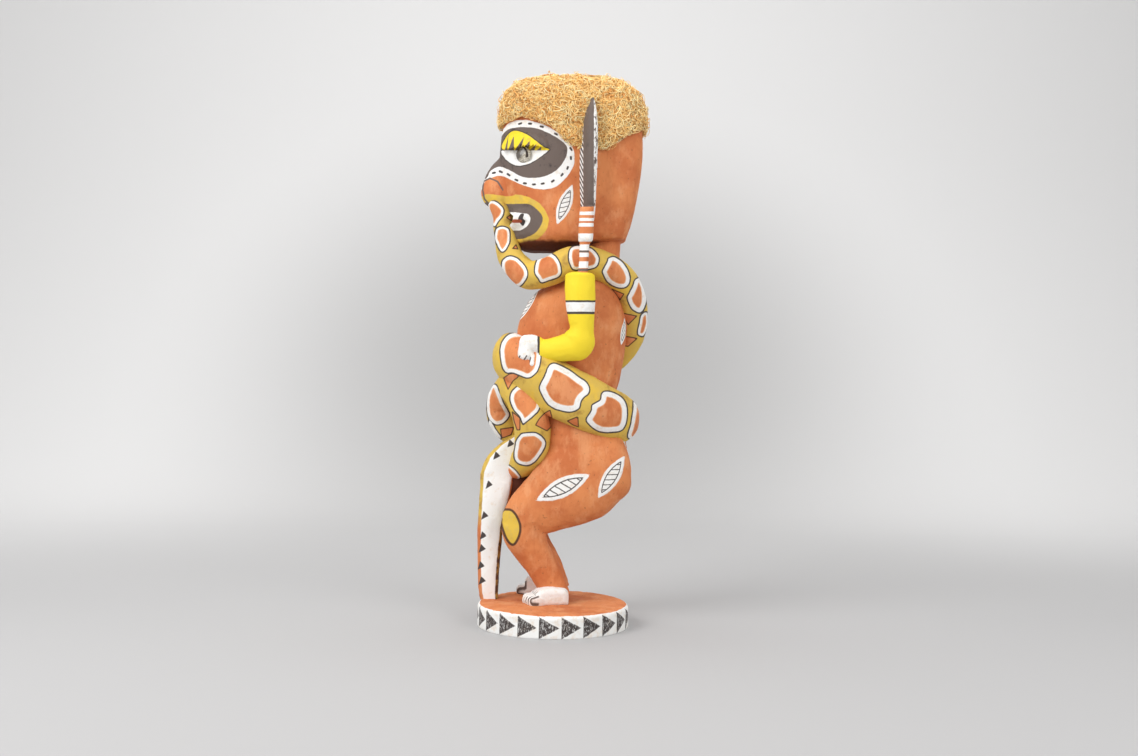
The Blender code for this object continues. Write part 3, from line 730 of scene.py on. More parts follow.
def tail():
    """The flattened tail, which comes down in front of the legs and stands on the disc."""
    half = TAIL_THICKNESS / 2 / UNIT
    rows = between([(z, front, back, half * share, 2.6, 4.0) for z, front, back, share in TAIL], 18)
    made, points = carved("tail", "snake_tail", [skin("snake_tail", level_rings(rows, 96))])
    spots = seen(points)
    _, y, z = in_units(points).T
    levels, front, back, _ = np.array(TAIL).T
    note(made, "from_front", y - np.interp(z, levels, front))
    note(made, "from_back", np.interp(z, levels, back) - y)
    teeth = [outline_distance(spots, np.array(TOOTH, float) + corner)[0] for corner in TAIL_TEETH]
    note(made, "tooth", np.min(teeth, axis=0))
    note(made, "photo_v", spots[:, 1])
    return made


# The head

HEAD = (
    (468, -46, 2, 16, 2.2, 2.4), (475, -61, 26, 31, 2.2, 3.0), (483, -65, 83, 42, 2.2, 4.2),
    (489, -66, 90, 47, 2.2, 4.6), (502, -68, 95, 49, 2.2, 4.6), (520, -71, 100, 51, 2.2, 4.6),
    (545, -76, 105, 53, 2.2, 4.6), (568, -80, 108, 54, 2.2, 4.6), (592, -81, 110, 55, 2.2, 4.6),
    (614, -80, 110, 55, 2.2, 4.4), (636, -77, 108, 54, 2.2, 4.2), (658, -74, 104, 52, 2.3, 3.8),
    (678, -68, 97, 48, 2.4, 3.4), (690, -56, 86, 41, 2.4, 3.0), (696, -38, 68, 30, 2.4, 2.6),
)
NOSE = (
    (524, -80, -50, 8), (530, -97, -50, 14), (540, -104, -48, 18), (551, -105, -46, 18),
    (567, -101, -46, 15), (582, -93, -48, 12), (594, -82, -50, 9),
)
EYE_Y = -46
EYE_Z = 599
LID_REACH = 34
LID_HEIGHT = 24
LID_BULGE = 9
SOCKET_REACH = 27
SOCKET_HEIGHT = 15
MOUTH_Z = 509

MASK_EDGE = (
    (485, 179), (491, 170.6), (500, 166.7), (511, 171), (522, 176.7), (533.3, 177.8), (546.7, 175.6),
    (557.8, 168.9), (565.6, 157.8), (567, 146.7), (557.8, 138.3), (542, 130), (528.9, 127.2), (514, 127.8),
    (506, 131), (498, 140), (485, 150), (475, 165),
)
MASK_BAND = (
    (480, 190), (485.6, 181), (494.4, 176.7), (502, 176), (513.3, 181), (527.8, 186.7), (542, 189.4),
    (557.8, 185.6), (572, 168.9), (574.4, 154.4), (570, 143), (561, 135), (546, 125.5), (530, 120.5),
    (518, 120.2), (508, 124), (499, 134), (484, 146), (470, 165),
)
MASK_DASHES = (
    (493.9, 172.8), (500.8, 171.7), (508.6, 174.7), (516.4, 180), (524.8, 183.3), (533.9, 184.4),
    (542.6, 183.6), (552.8, 181), (562, 174.8), (567.6, 167.8), (570.9, 158), (571, 149), (566, 141),
    (556, 134), (541.7, 126.6), (530, 123.6), (520, 123.6), (512.6, 125.9),
)
LID_EDGE = (
    (502.8, 149.5), (505, 139), (511, 132), (517.8, 131), (527.8, 135), (535.6, 140.6), (543.3, 146.7),
    (549, 150.2), (526, 151),
)
LASH_TEETH = (
    ((504.5, 151), (507.0, 151), (508.9, 132.8)),
    ((507.8, 151), (513.9, 151), (513.9, 135.0)),
    ((514.4, 151), (520.6, 151), (524.4, 136.0)),
    ((521.0, 151), (528.0, 151), (530.6, 139.4)),
    ((529.0, 151), (534.0, 151), (537.0, 142.8)),
    ((536.0, 151), (540.6, 151), (541.7, 146.0)),
)
EYE_WHITE = (
    (502.9, 150), (505, 157.6), (511.5, 163), (518, 165.2), (526.7, 164), (535.4, 159.7), (543, 154.3),
    (547, 149), (526, 146),
)
MOUTH_YELLOW = (
    (480, 198), (508, 196.4), (517, 194.6), (529, 197.3), (540, 204), (547, 214), (548.6, 222.4),
    (545.4, 231.5), (536.3, 239.7), (525.4, 243.3), (518, 244.7), (480, 246),
)
MOUTH_CHARCOAL = (
    (480, 205), (509, 204), (519, 203.7), (529, 204), (537.2, 209.6), (542.7, 217), (540.8, 226),
    (534.5, 233.3), (527.2, 237), (518, 239.2), (480, 240),
)
MOUTH_WHITE = (
    (480, 212), (511.7, 212.3), (521.7, 213.2), (528, 214.2), (530.4, 219.6), (527.2, 226), (521.7, 229.6),
    (515.3, 230.6), (480, 231),
)
MOUTH_SPADE = ((518, 219), (520.5, 214), (524, 214), (523, 218.5), (525.5, 221), (523, 226), (519.5, 222.5))
MOUTH_TONGUE = ((512, 219.4), (521, 219.8), (521, 222.6), (512, 222.6))
CHEEK_LEAF = (((572.3, 184.7), (557.0, 224.8), 6.7),)
DASH_LENGTH = 2.4
LID_LINE = 150.4
# Jaw line and heights that bound the head's underside, which is painted dark as a painted shade.
JAW_LINE = 236
JAW_TOP = 492
JAW_LOW = 480
NOSE_LINE = ((484, 181), (489.9, 178.2), (497.5, 181.4), (502.9, 190))
NOSE_TIP_LINE = ((483.4, 181), (482.7, 190), (484.4, 199), (489.9, 205))


def head_side(y, z):
    """How far from the middle plane the side of the head lies at this y and z."""
    row = [np.interp(z, [r[0] for r in HEAD], [r[i] for r in HEAD]) for i in range(6)]
    widest = row[1] + (row[2] - row[1]) * WIDEST
    reach = min(1.0, max(0.0, (widest - y) / (widest - row[1])))
    return row[3] * (1 - reach ** row[4]) ** (1 / row[4])


def eye_turn(side):
    """The direction that an eye looks in, as a turn from straight out to the side."""
    return -side * math.atan2(head_side(EYE_Y + 12, EYE_Z) - head_side(EYE_Y - 12, EYE_Z), 24)


def eyelid(side):
    """The heavy upper lid, a raised half oval with a level lower edge."""
    centre = (side * (head_side(EYE_Y, EYE_Z) - 2), EYE_Y, EYE_Z)
    return skin("lid", oval_rings(centre, (LID_BULGE, LID_REACH, LID_HEIGHT), eye_turn(side), 72, 24, 0.0))


def eye_socket(side):
    centre = (side * (head_side(EYE_Y, EYE_Z - 4) + 1), EYE_Y, EYE_Z - 5)
    return skin("socket", oval_rings(centre, (6, SOCKET_REACH, SOCKET_HEIGHT), eye_turn(side), 48, 24))


def head():
    """The head with its nose, lids and lips, and the hollows of its mouth and eyes."""
    cutters = [eye_socket(1), eye_socket(-1)]
    cutters.append(skin("mouth", oval_rings((0, -60, MOUTH_Z), (35, 24, 11), 0, 64, 24)))
    parts = [skin("head", level_rings(between(HEAD, 5), 128))]
    parts.append(skin("lips", oval_rings((0, -52, MOUTH_Z), (41, 20, 20), 0, 80, 32)))
    parts += [eyelid(1), eyelid(-1)]
    for part in parts:
        cut(part, cutters)
    for cutter in cutters:
        bpy.data.objects.remove(cutter)
    parts.append(skin("nose", level_rings(between([(*row, 2.0, 2.0) for row in NOSE], 8), 64)))
    made, points = carved("head", "carved_head", parts)
    spots = seen(points)
    note(made, "mask", outline_distance(spots, round_trip(MASK_EDGE, 5))[0])
    note(made, "mask_band", outline_distance(spots, round_trip(MASK_BAND, 5))[0])
    dashes = []
    for here, there in zip(MASK_DASHES, MASK_DASHES[1:]):
        here, there = np.array(here), np.array(there)
        turned = (there - here) / np.hypot(*(there - here)) * DASH_LENGTH
        dashes.append(path_distance(spots, (here - turned / 2, here + turned / 2)))
    note(made, "dashes", np.min(dashes, axis=0))
    shapes = {
        "lid": LID_EDGE,
        "eye_white": EYE_WHITE,
        "mouth_yellow": MOUTH_YELLOW,
        "mouth_charcoal": MOUTH_CHARCOAL,
        "mouth_white": MOUTH_WHITE,
        "mouth_spade": MOUTH_SPADE,
        "mouth_tongue": MOUTH_TONGUE,
    }
    for name, outline in shapes.items():
        note(made, name, outline_distance(spots, round_trip(outline, 4))[0])
    # Where the head's underside shows below the jaw line: painted shade, the same wood darkened in its
    # colour.
    z = in_units(points)[:, 2]
    note(made, "painted_underside_shade", np.where((spots[:, 1] > JAW_LINE) & (z < JAW_TOP), z - JAW_LOW, 20))
    teeth = [outline_distance(spots, np.array(tooth, float))[0] for tooth in LASH_TEETH]
    note(made, "lash", np.min(teeth, axis=0))
    lines = [path_distance(spots, line) for line in (NOSE_LINE, NOSE_TIP_LINE)]
    note(made, "nose_line", np.min(lines, axis=0))
    leaf_notes(made, CHEEK_LEAF)
    note(made, "photo_v", spots[:, 1])
    return made


# Ear boards and their stems

EAR_BOARD = (
    (512, 0.55, 0.72), (532, 0.86, 0.84), (560, 1.0, 0.95), (596, 1.0, 1.0), (626, 0.92, 0.97),
    (646, 0.76, 0.70), (663, 0.56, 0.14),
)
BOARD_Y = 42
BOARD_ROOT_Y = 39.5
BOARD_TENON = 11
BOARD_BACK = 0.5
STEM = (
    (422, 79, 31, 0.72, 0.76), (446, 77, 33, 0.64, 0.76), (472, 74, 34, 0.66, 0.8),
    (478, 73, 35, 0.96, 1.25), (500, 70, 36, 1.0, 1.4), (520, 68, 37, 1.0, 1.5),
)
BOARD_FOOT = 206.6
BLADE_FRONT = 583.3
BLADE_BACK = 594.3
BEHIND_END = 233
HATCH_PITCH = 8.0
STEM_WHITES = (
    (211.5, 215), (218, 221), (223, 226.6), (233.5, 241.6), (244.5, 250.4), (252.6, 257), (261.4, 268),
)
STEM_GREYS = ((250.4, 252.4), (268.6, 271))


def ear_board(side):
    """A tall board beside the head, with the banded stem that joins it to the top of the arm."""
    reach = EAR_BOARD_REACH / UNIT
    half_root = EAR_BOARD_ROOT / 2 / UNIT
    half_edge = EAR_BOARD_EDGE / 2 / UNIT
    inner = max(row[3] for row in HEAD) - BOARD_TENON
    rings = []
    for z, out, thick in between(EAR_BOARD, 8):
        outer = inner + BOARD_TENON + reach * out
        root = half_root * thick
        edge = half_edge * thick
        spots = (
            (inner, BOARD_ROOT_Y - root),
            (outer - edge * 0.6, BOARD_Y - edge),
            (outer, BOARD_Y - edge * 0.45),
            (outer, BOARD_Y + edge * 0.45),
            (outer - edge * 0.6, BOARD_Y + edge),
            (inner, BOARD_ROOT_Y + root * BOARD_BACK),
        )
        rings.append([(side * x, spot_y, z) for x, spot_y in spots])
    parts = [skin("board", place(rings))]
    half = STEM_WIDTH / 2 / UNIT
    z, x, y, long, wide = (between(STEM, 6)[:, i] for i in range(5))
    levels = np.stack([z, y - half * long, y + half * long, half * wide, 3 + 0 * z, 3 + 0 * z], axis=1)
    parts.append(skin("stem", level_rings(levels, 48, side * x[:, None])))
    made, points = carved("ear_board", sided("ear_board", side), parts, side)
    spots = seen(points)
    shares = in_units(points)
    note(made, "photo_u", spots[:, 0])
    note(made, "photo_v", spots[:, 1])
    note(made, "out", side * shares[:, 0])
    note(made, "height", shares[:, 2])
    return made


# The disc

DISC_TRIANGLES = 22


def disc():
    """The round base, its top worked with shallow cuts and drying cracks."""
    flat = np.linspace(0.0, DISC_RADIUS - DISC_EDGE_ROUND, 60)[1:]
    bend = np.linspace(0, np.pi / 2, 7)[1:]
    side = np.linspace(DISC_THICKNESS - DISC_EDGE_ROUND, 0.0, 18)[1:]
    edge = DISC_RADIUS - DISC_EDGE_ROUND + DISC_EDGE_ROUND * np.sin(bend)
    radii = [*flat, *edge, *(0 * side + DISC_RADIUS)]
    edge = DISC_THICKNESS - DISC_EDGE_ROUND * (1 - np.cos(bend))
    heights = [*(0 * flat + DISC_THICKNESS), *edge, *side]
    angle = np.linspace(0, 2 * np.pi, 240, endpoint=False)[None, :]
    radii = np.array(radii)[:, None]
    heights = np.array(heights)[:, None]
    rings = np.stack([radii * np.cos(angle), radii * np.sin(angle), heights + 0 * angle], axis=-1)
    made = skin("round_disc", rings)
    points, normals = corners(made)
    upper = np.clip(normals[:, 2], 0, 1)
    low = points[:, 2] < 0.001
    worked = field(points * np.array((0.35, 1, 1)), 0.006, 71) * 0.00035 + field(points, 0.018, 72) * 0.0005
    crack = np.abs(field(points * np.array((0.3, 1.4, 1)), 0.02, 73))
    worked -= np.clip(0.045 - crack, 0, 1) * 0.022 * upper
    wobble = field(points, 0.02, 74) * 0.0005 + field(points, 0.006, 75) * 0.0002
    shift = np.where(low, 0, worked * upper + wobble * (1 - upper))
    move_points(made, points + normals * shift[:, None])
    return made


# The wig

WIG_RISE = 3
WIG_HOLD = 0.55
WIG_HEM = (
    (-95, 35), (-74, 39), (-52, 47), (-8, 29), (20, 1), (62, 1), (88, 20), (115, 37),
)
WIG_SHOULDER = 17
WIG_SIDES = ((0, 0.75), (0.35, 1.0), (0.72, 1.05), (1, 0.85))
WIG_CROWN = ((-1, 0.1), (-0.4, -0.25), (0.3, -0.4), (1, 0.0))
FIBRES = 10000
FIBRE_STATIONS = 7
FIBRE_LOFT = 0.0028


def wig_rings(sides, steps):
    """Rings of the wig's outer form, from its lower edge to its crown."""
    cover = WIG_THICKNESS / UNIT
    head_top = HEAD[-1][0]
    fine = sides * 5
    angle = np.linspace(0, 2 * np.pi, fine, endpoint=False)
    in_front = np.sin(angle) < 0
    levels = [(0, share, head_top - WIG_SHOULDER, wide) for share, wide in WIG_SIDES]
    levels += [(1, 1, head_top + rise * WIG_RISE, wide) for rise, wide in WIG_CROWN]

    def edge_row(z):
        held = np.clip(z, HEAD[0][0], head_top)
        row = [np.interp(held, [r[0] for r in HEAD], [r[i] for r in HEAD]) for i in range(6)]
        widest = row[1] + (row[2] - row[1]) * WIDEST
        c, s = powered(angle, np.where(in_front, row[4], row[5]))
        return c, s, row[3], widest, np.where(in_front, widest - row[1], row[2] - widest)

    _, s, _, widest, reach = edge_row(np.full(fine, float(EYE_Z)))
    hem = EYE_Z + np.interp(widest + s * reach, [row[0] for row in WIG_HEM], [row[1] for row in WIG_HEM])
    rings = []
    for _, share, top, wide in between(levels, steps):
        z = hem + (top - hem) * share
        c, s, half, widest, reach = edge_row(z - WIG_RISE)
        grow = cover * wide * WIG_HOLD
        rings.append(np.stack([c * (half + grow), widest + s * (reach + grow), z], axis=-1))
    closed = np.array(rings)
    closed = np.concatenate([closed, closed[:, :1]], axis=1)
    run = np.linalg.norm(np.diff(closed[len(closed) // 3], axis=0), axis=1)
    run = np.concatenate([[0], np.cumsum(run)])
    at = np.interp(np.linspace(0, run[-1], sides, endpoint=False), run, np.arange(fine + 1))
    low = at.astype(int)
    part = (at - low)[None, :, None]
    return place(closed[:, low] * (1 - part) + closed[:, low + 1] * part)


def wig_cap():
    """The felted mass under the loose fibres."""
    made = skin("wig_mass", wig_rings(150, 14))
    roughen(made, 0.02, 0.0022, 81)
    roughen(made, 0.006, 0.0012, 82)
    return made


def fibres(name, cap, count, seed):
    """Loose curled strands matted over the cap, each a thin closed sliver."""
    chance = np.random.default_rng(seed)
    points, normals = corners(cap)
    faces = np.array([face.vertices[:3] for face in cap.data.polygons])
    area = np.array([face.area for face in cap.data.polygons])
    weight = np.where((faces == len(points) - 2).any(axis=1), 0, area)
    picked = chance.choice(len(faces), count, p=weight / weight.sum())
    tree = KDTree(len(points))
    for order, spot in enumerate(points):
        tree.insert(spot, order)
    tree.balance()
    shares = chance.dirichlet((1, 1, 1), count)[:, :, None]
    here = (points[faces[picked]] * shares).sum(axis=1)
    out = normals[faces[picked, 0]]
    tangent = chance.normal(0, 1, (count, 3))
    tangent -= out * np.einsum("ij,ij->i", tangent, out)[:, None]
    heading = tangent / np.linalg.norm(tangent, axis=1)[:, None]
    curl = chance.uniform(0.6, 7.0, count) * chance.choice((-1.0, 1.0), count)
    reach = chance.uniform(0.009, 0.027, count)
    width = chance.uniform(0.00028, 0.00075, count)[:, None]
    tone = chance.uniform(0, 1, count)
    rise = chance.uniform(-0.0004, FIBRE_LOFT, count) * np.where(chance.uniform(0, 1, count) < 0.08, 2.4, 1)
    spots, headings, outs = [], [], []
    for step in range(FIBRE_STATIONS):
        nearest = np.array([tree.find(spot)[1] for spot in here])
        out = normals[nearest]
        away = here - points[nearest]
        height = np.einsum("ij,ij->i", away, out)
        aside = away - out * height[:, None]
        far = np.linalg.norm(aside, axis=1)
        aside *= np.minimum(1, FIBRE_LOFT / np.maximum(far, 1e-9))[:, None]
        arch = math.sin(math.pi * (step + 0.6) / FIBRE_STATIONS)
        here = points[nearest] + aside + out * (rise * arch)[:, None]
        heading -= out * np.einsum("ij,ij->i", heading, out)[:, None]
        heading /= np.linalg.norm(heading, axis=1)[:, None] + 1e-9
        spots.append(here)
        headings.append(heading)
        outs.append(out)
        angle = (curl / (FIBRE_STATIONS - 1))[:, None]
        heading = heading * np.cos(angle) + np.cross(out, heading) * np.sin(angle)
        here = here + heading * (reach / (FIBRE_STATIONS - 1))[:, None]
    points_out = []
    for step in range(FIBRE_STATIONS):
        if step in (0, FIBRE_STATIONS - 1):
            points_out.append(spots[step][:, None])
            continue
        across = np.cross(headings[step], outs[step])
        across /= np.linalg.norm(across, axis=1)[:, None] + 1e-9
        up = np.cross(across, headings[step])
        ring = [spots[step] - across * width, spots[step] + across * width, spots[step] + up * width * 0.8]
        points_out.append(np.stack(ring, axis=1))
    strand = np.concatenate(points_out, axis=1)
    size = strand.shape[1]
    faces_out = []
    rings = FIBRE_STATIONS - 2
    for side in range(3):
        after = (side + 1) % 3
        faces_out.append((0, 1 + after, 1 + side))
        for ring in range(rings - 1):
            low = 1 + ring * 3
            faces_out.append((low + side, low + after, low + 3 + after))
            faces_out.append((low + side, low + 3 + after, low + 3 + side))
        low = 1 + (rings - 1) * 3
        faces_out.append((low + side, low + after, size - 1))
    faces_all = (np.array(faces_out)[None] + (np.arange(count) * size)[:, None, None]).reshape(-1, 3)
    made = mesh_object(name, strand.reshape(-1, 3), faces_all.tolist())
    note(made, "tone", np.repeat(tone, size))
    return made


# The eyes

SHELL_IN = 3
SHELL_AHEAD = 2
SHELL_BELOW = 7


def eye_shell(side):
    """The polished shell of an eye, a low lens set in the socket."""
    y, z = EYE_Y - SHELL_AHEAD, EYE_Z - SHELL_BELOW
    x = head_side(EYE_Y, z) - SHELL_IN
    radius = EYE_SHELL_RADIUS / UNIT
    depth = EYE_SHELL_DEPTH / UNIT
    rings = oval_rings((side * x, y, z), (depth, radius, radius), eye_turn(side), 64, 40)
    made = skin(sided("shell", side), rings)
    points, _ = corners(made)
    spots = seen(points)
    centre = seen(place([(x, y, z)]))[0]
    note(made, "from_middle_u", spots[:, 0] - centre[0])
    note(made, "from_middle_v", spots[:, 1] - centre[1])
    return made


# Materials


def earth(red, green, blue, share=0.87):
    """A paint's own colour, from how it looks in full light, 0 to 255."""
    linear = []
    for level in (red, green, blue):
        level /= 255
        linear.append((level / 12.92 if level < 0.04045 else ((level + 0.055) / 1.055) ** 2.4) * share)
    return tuple(linear)


TERRACOTTA = earth(234, 147, 90)
TERRACOTTA_DEEP = earth(209, 117, 67)
TERRACOTTA_PALE = earth(242, 170, 118)
YELLOW = earth(255, 226, 50)
MUSTARD = earth(236, 196, 76)
OCHRE = earth(226, 190, 88)
OCHRE_DARK = earth(190, 150, 72)
WHITE = earth(254, 253, 250)
WHITE_WORN = earth(246, 236, 224)
CHARCOAL = earth(113, 99, 92)
CHARCOAL_DARK = earth(76, 68, 66)
UMBER = earth(98, 66, 46)
# Deep umber, used only for painted shade: under the jaw and on the web between tail and belly.
PAINTED_SHADE_UMBER = earth(92, 44, 26)
BRICK = earth(170, 84, 56)
STRAW = earth(255, 236, 180, 1.0)
TAN = earth(255, 206, 126, 1.0)
BARK = earth(222, 152, 80, 1.0)
SHELL = earth(150, 140, 122)
SHELL_PALE = earth(232, 226, 212)
SHELL_GREY = earth(104, 98, 92)
SHELL_DARK = earth(52, 42, 38)


class Look:
    """One material, built a value at a time from nodes."""

    def __init__(self, name, roughness):
        self.material = bpy.data.materials.new(name)
        self.material.use_nodes = True
        self.tree = self.material.node_tree
        self.shader = self.tree.nodes["Principled BSDF"]
        self.shader.inputs["Roughness"].default_value = roughness
        self.shader.inputs["Specular IOR Level"].default_value = 0.3
        self.where = self.tree.nodes.new("ShaderNodeTexCoord").outputs["Object"]
        self.colour = None
        self.height = None

    def axes(self):
        parts = self.node("ShaderNodeSeparateXYZ", {"Vector": self.where}, "X").node
        return (parts.outputs[axis] for axis in "XYZ")

    def node(self, kind, values, output=0, **settings):
        made = self.tree.nodes.new(kind)
        for name, value in settings.items():
            setattr(made, name, value)
        for key, value in values.items():
            socket = made.inputs[key]
            if isinstance(value, bpy.types.NodeSocket):
                self.tree.links.new(value, socket)
            elif isinstance(value, tuple) and len(value) == 3 and socket.type == "RGBA":
                socket.default_value = (*value, 1)
            else:
                socket.default_value = value
        return made.outputs[output]

    def noted(self, name):
        return self.node("ShaderNodeAttribute", {}, "Fac", attribute_name=name)

    def math(self, operation, first, second=0.0, third=0.0):
        return self.node("ShaderNodeMath", {0: first, 1: second, 2: third}, operation=operation)

    def noise(self, size, detail=3.0, rough=0.55, stretch=None, bend=0.0):
        """Noise around 0.5, with lumps of about the given size in metres."""
        where = self.where
        if stretch:
            where = self.node("ShaderNodeMapping", {"Vector": where, "Scale": stretch})
        values = {"Vector": where, "Scale": 1 / size, "Detail": detail, "Roughness": rough}
        return self.node("ShaderNodeTexNoise", {**values, "Distortion": bend})

    def shift(self, value, amount, size, detail=2.0):
        """A value made uneven by up to the amount, as a hand-drawn edge is."""
        wobble = self.math("MULTIPLY_ADD", self.noise(size, detail), 2 * amount, -amount)
        return self.math("ADD", value, wobble)

    def below(self, value, limit, soft):
        """1 where the value is below the limit, 0 above it."""
        ends = {"From Min": limit - soft, "From Max": limit + soft, "To Min": 1.0, "To Max": 0.0}
        return self.node("ShaderNodeMapRange", {"Value": value, **ends}, interpolation_type="SMOOTHSTEP")

    def above(self, value, limit, soft):
        return self.below(self.math("MULTIPLY", value, -1.0), -limit, soft)

    def both(self, *masks):
        found = masks[0]
        for mask in masks[1:]:
            found = self.math("MULTIPLY", found, mask)
        return found

    def mixed(self, share, low, high):
        return self.node("ShaderNodeMix", {0: share, 6: low, 7: high}, 2, data_type="RGBA")

    def off(self, value, middle):
        """How far the value is from the middle."""
        return self.math("ABSOLUTE", self.math("SUBTRACT", value, middle))

    def uneven(self, name, amount, size):
        return self.shift(self.noted(name), amount, size)

    def within(self, name, limit, soft, amount=0.0, size=0.008):
        """1 where a note, made uneven by the amount, is below the limit."""
        return self.below(self.uneven(name, amount, size) if amount else self.noted(name), limit, soft)

    def tint(self, share, mask, colour):
        """Moves the colour a share of the way to another where the mask is 1."""
        self.colour = self.mixed(self.math("MULTIPLY", mask, share), self.colour, colour)

    def coat(self, colour, mask, thickness=0.0):
        """One more coat of paint where the mask is 1."""
        self.colour = self.mixed(mask, self.colour, colour)
        if thickness:
            self.height = self.math("MULTIPLY_ADD", mask, thickness, self.height)

    def worn(self, colour, other, size, share):
        """A paint whose tone drifts towards another."""
        patches = self.below(self.noise(size, 5.0, 0.6), share, 0.09)
        return self.mixed(patches, colour, other)

    def white(self, size=0.006, share=0.4):
        return self.worn(WHITE, WHITE_WORN, size, share)

    def finish(self, bump=0.5, depth=0.0008):
        self.tree.links.new(self.colour, self.shader.inputs["Base Color"])
        values = {"Strength": bump, "Distance": depth, "Height": self.height}
        self.tree.links.new(self.node("ShaderNodeBump", values), self.shader.inputs["Normal"])
        return self.material


def painted(name, roughness):
    """Matt earth paint over carved wood: drifting tone, brushed streaks, grain and small pits."""
    look = Look("painted_" + name, roughness)
    drift = look.below(look.noise(0.05, 4.0, 0.6), 0.5, 0.16)
    look.colour = look.mixed(drift, TERRACOTTA, TERRACOTTA_DEEP)
    look.tint(0.55, look.above(look.noise(0.022, 6.0, 0.65, (1, 1, 0.6)), 0.57, 0.09), TERRACOTTA_PALE)
    look.tint(0.35, look.above(look.noise(0.0035, 4.0, 0.7, (1, 1, 0.16)), 0.6, 0.08), TERRACOTTA_DEEP)
    grain = look.noise(0.0016, 3.0, 0.7, (1, 1, 0.07))
    fine = look.noise(0.0011, 4.0, 0.7)
    pit = look.above(look.noise(0.0042, 2.0, 0.5), 0.70, 0.03)
    look.tint(0.35, pit, UMBER)
    look.height = look.math("MULTIPLY_ADD", grain, 0.5, look.math("MULTIPLY", fine, 0.35))
    look.height = look.math("MULTIPLY_ADD", pit, -0.5, look.height)
    return look


def leaves(look):
    """White leaves with a dark outlined and hatched heart."""
    look.coat(look.white(), look.within("leaf", 1.0, 0.06, 0.1, 0.006), 0.5)
    heart = look.uneven("leaf_heart", 0.08, 0.005)
    line = look.below(look.off(heart, 0.95), 0.10, 0.05)
    bar = look.math("FRACT", look.uneven("leaf_bars", 0.08, 0.004))
    bar = look.both(look.below(look.off(bar, 0.5), 0.09, 0.05), look.below(heart, 0.95, 0.05))
    look.coat(CHARCOAL_DARK, look.math("MAXIMUM", line, bar))


def body_look():
    look = painted("body", 0.72)
    # Painted shade: the web between the tail and the belly in deep umber.
    look.coat(PAINTED_SHADE_UMBER, look.within("web", 0.0, 0.8, 0.8))
    knee = look.uneven("knee", 0.4, 0.01)
    look.coat(UMBER, look.below(knee, 2.2, 0.4))
    look.coat(look.worn(MUSTARD, OCHRE, 0.01, 0.45), look.below(knee, -0.2, 0.4), 0.4)
    leaves(look)
    return look.finish()


def head_look():
    look = painted("head", 0.72)
    leaves(look)
    charcoal = look.worn(CHARCOAL, CHARCOAL_DARK, 0.012, 0.36)
    white = look.white()
    band = look.within("mask_band", 0.0, 0.35, 0.6)
    look.coat(white, band, 0.6)
    look.coat(CHARCOAL_DARK, look.both(band, look.within("dashes", 1.1, 0.3, 0.4, 0.004)))
    look.coat(charcoal, look.within("mask", 0.0, 0.35, 0.5), 0.3)
    edge = look.uneven("lid", 0.35, 0.005)
    lid = look.below(edge, 0.0, 0.3)
    look.coat(CHARCOAL_DARK, look.below(edge, 1.0, 0.3))
    look.coat(look.worn(YELLOW, MUSTARD, 0.006, 0.4), lid, 0.4)
    look.coat(CHARCOAL, look.both(lid, look.within("lash", 0.0, 0.3)))
    eye = look.uneven("eye_white", 0.5, 0.005)
    low = look.above(look.noted("photo_v"), LID_LINE, 0.4)
    look.coat(CHARCOAL_DARK, look.both(look.below(eye, 1.4, 0.4), low))
    look.coat(white, look.both(look.below(eye, 0.4, 0.3), low), 0.4)
    yellow = look.worn(MUSTARD, OCHRE, 0.012, 0.5)
    look.coat(yellow, look.within("mouth_yellow", 0.0, 0.4, 0.6, 0.007), 0.4)
    look.coat(charcoal, look.within("mouth_charcoal", 0.0, 0.4, 0.6, 0.007), 0.3)
    look.coat(white, look.within("mouth_white", 0.0, 0.4, 0.5, 0.006), 0.3)
    look.coat(CHARCOAL_DARK, look.within("mouth_spade", 0.0, 0.4))
    look.coat(BRICK, look.within("mouth_tongue", 0.0, 0.4))
    look.coat(CHARCOAL, look.within("nose_line", 0.8, 0.3, 0.3, 0.005))
    # Painted shade: deep umber under the jaw, where the head's underside lies in shade.
    look.coat(PAINTED_SHADE_UMBER, look.within("painted_underside_shade", 0.0, 2.5, 3.0, 0.012))
    return look.finish()


def snake_look():
    look = painted("snake", 0.68)
    terracotta = look.colour
    spot = look.uneven("spot", 0.45, 0.008)
    heart = look.uneven("spot_heart", 0.6, 0.008)
    look.colour = look.worn(OCHRE, OCHRE_DARK, 0.02, 0.40)
    look.coat(look.worn(MUSTARD, OCHRE, 0.03, 0.5), look.above(look.noise(0.025, 3.0), 0.52, 0.08))
    look.coat(UMBER, look.within("wedge", 0.5, 0.3))
    look.coat(terracotta, look.within("wedge", -0.6, 0.3))
    look.coat(CHARCOAL_DARK, look.below(spot, 0.4, 0.3))
    look.coat(look.white(0.007), look.below(spot, -1.0, 0.3), 0.5)
    look.coat(TERRACOTTA_PALE, look.below(heart, 0.6, 0.5))
    look.coat(terracotta, look.below(heart, -0.2, 0.4))
    return look.finish()


def tail_look():
    look = painted("tail", 0.7)
    from_front = look.uneven("from_front", 0.8, 0.01)
    from_back = look.uneven("from_back", 0.8, 0.01)
    v = look.noted("photo_v")
    edge = look.both(look.below(from_front, 5.0, 0.5), look.below(v, TAIL_EDGE_END, 12.0))
    look.coat(look.worn(OCHRE, OCHRE_DARK, 0.015, 0.5), edge)
    white = look.both(look.above(from_front, 4.6, 0.6), look.above(from_back, 2.0, 0.6))
    look.coat(look.white(0.008, 0.36), white, 0.5)
    edge = look.both(look.above(v, TAIL_BACK_START, 2.0), look.below(from_back, 3.4, 0.5))
    look.coat(look.worn(OCHRE_DARK, UMBER, 0.01, 0.5), edge)
    look.coat(CHARCOAL_DARK, look.within("tooth", 0.0, 0.3, 0.4, 0.004))
    return look.finish()


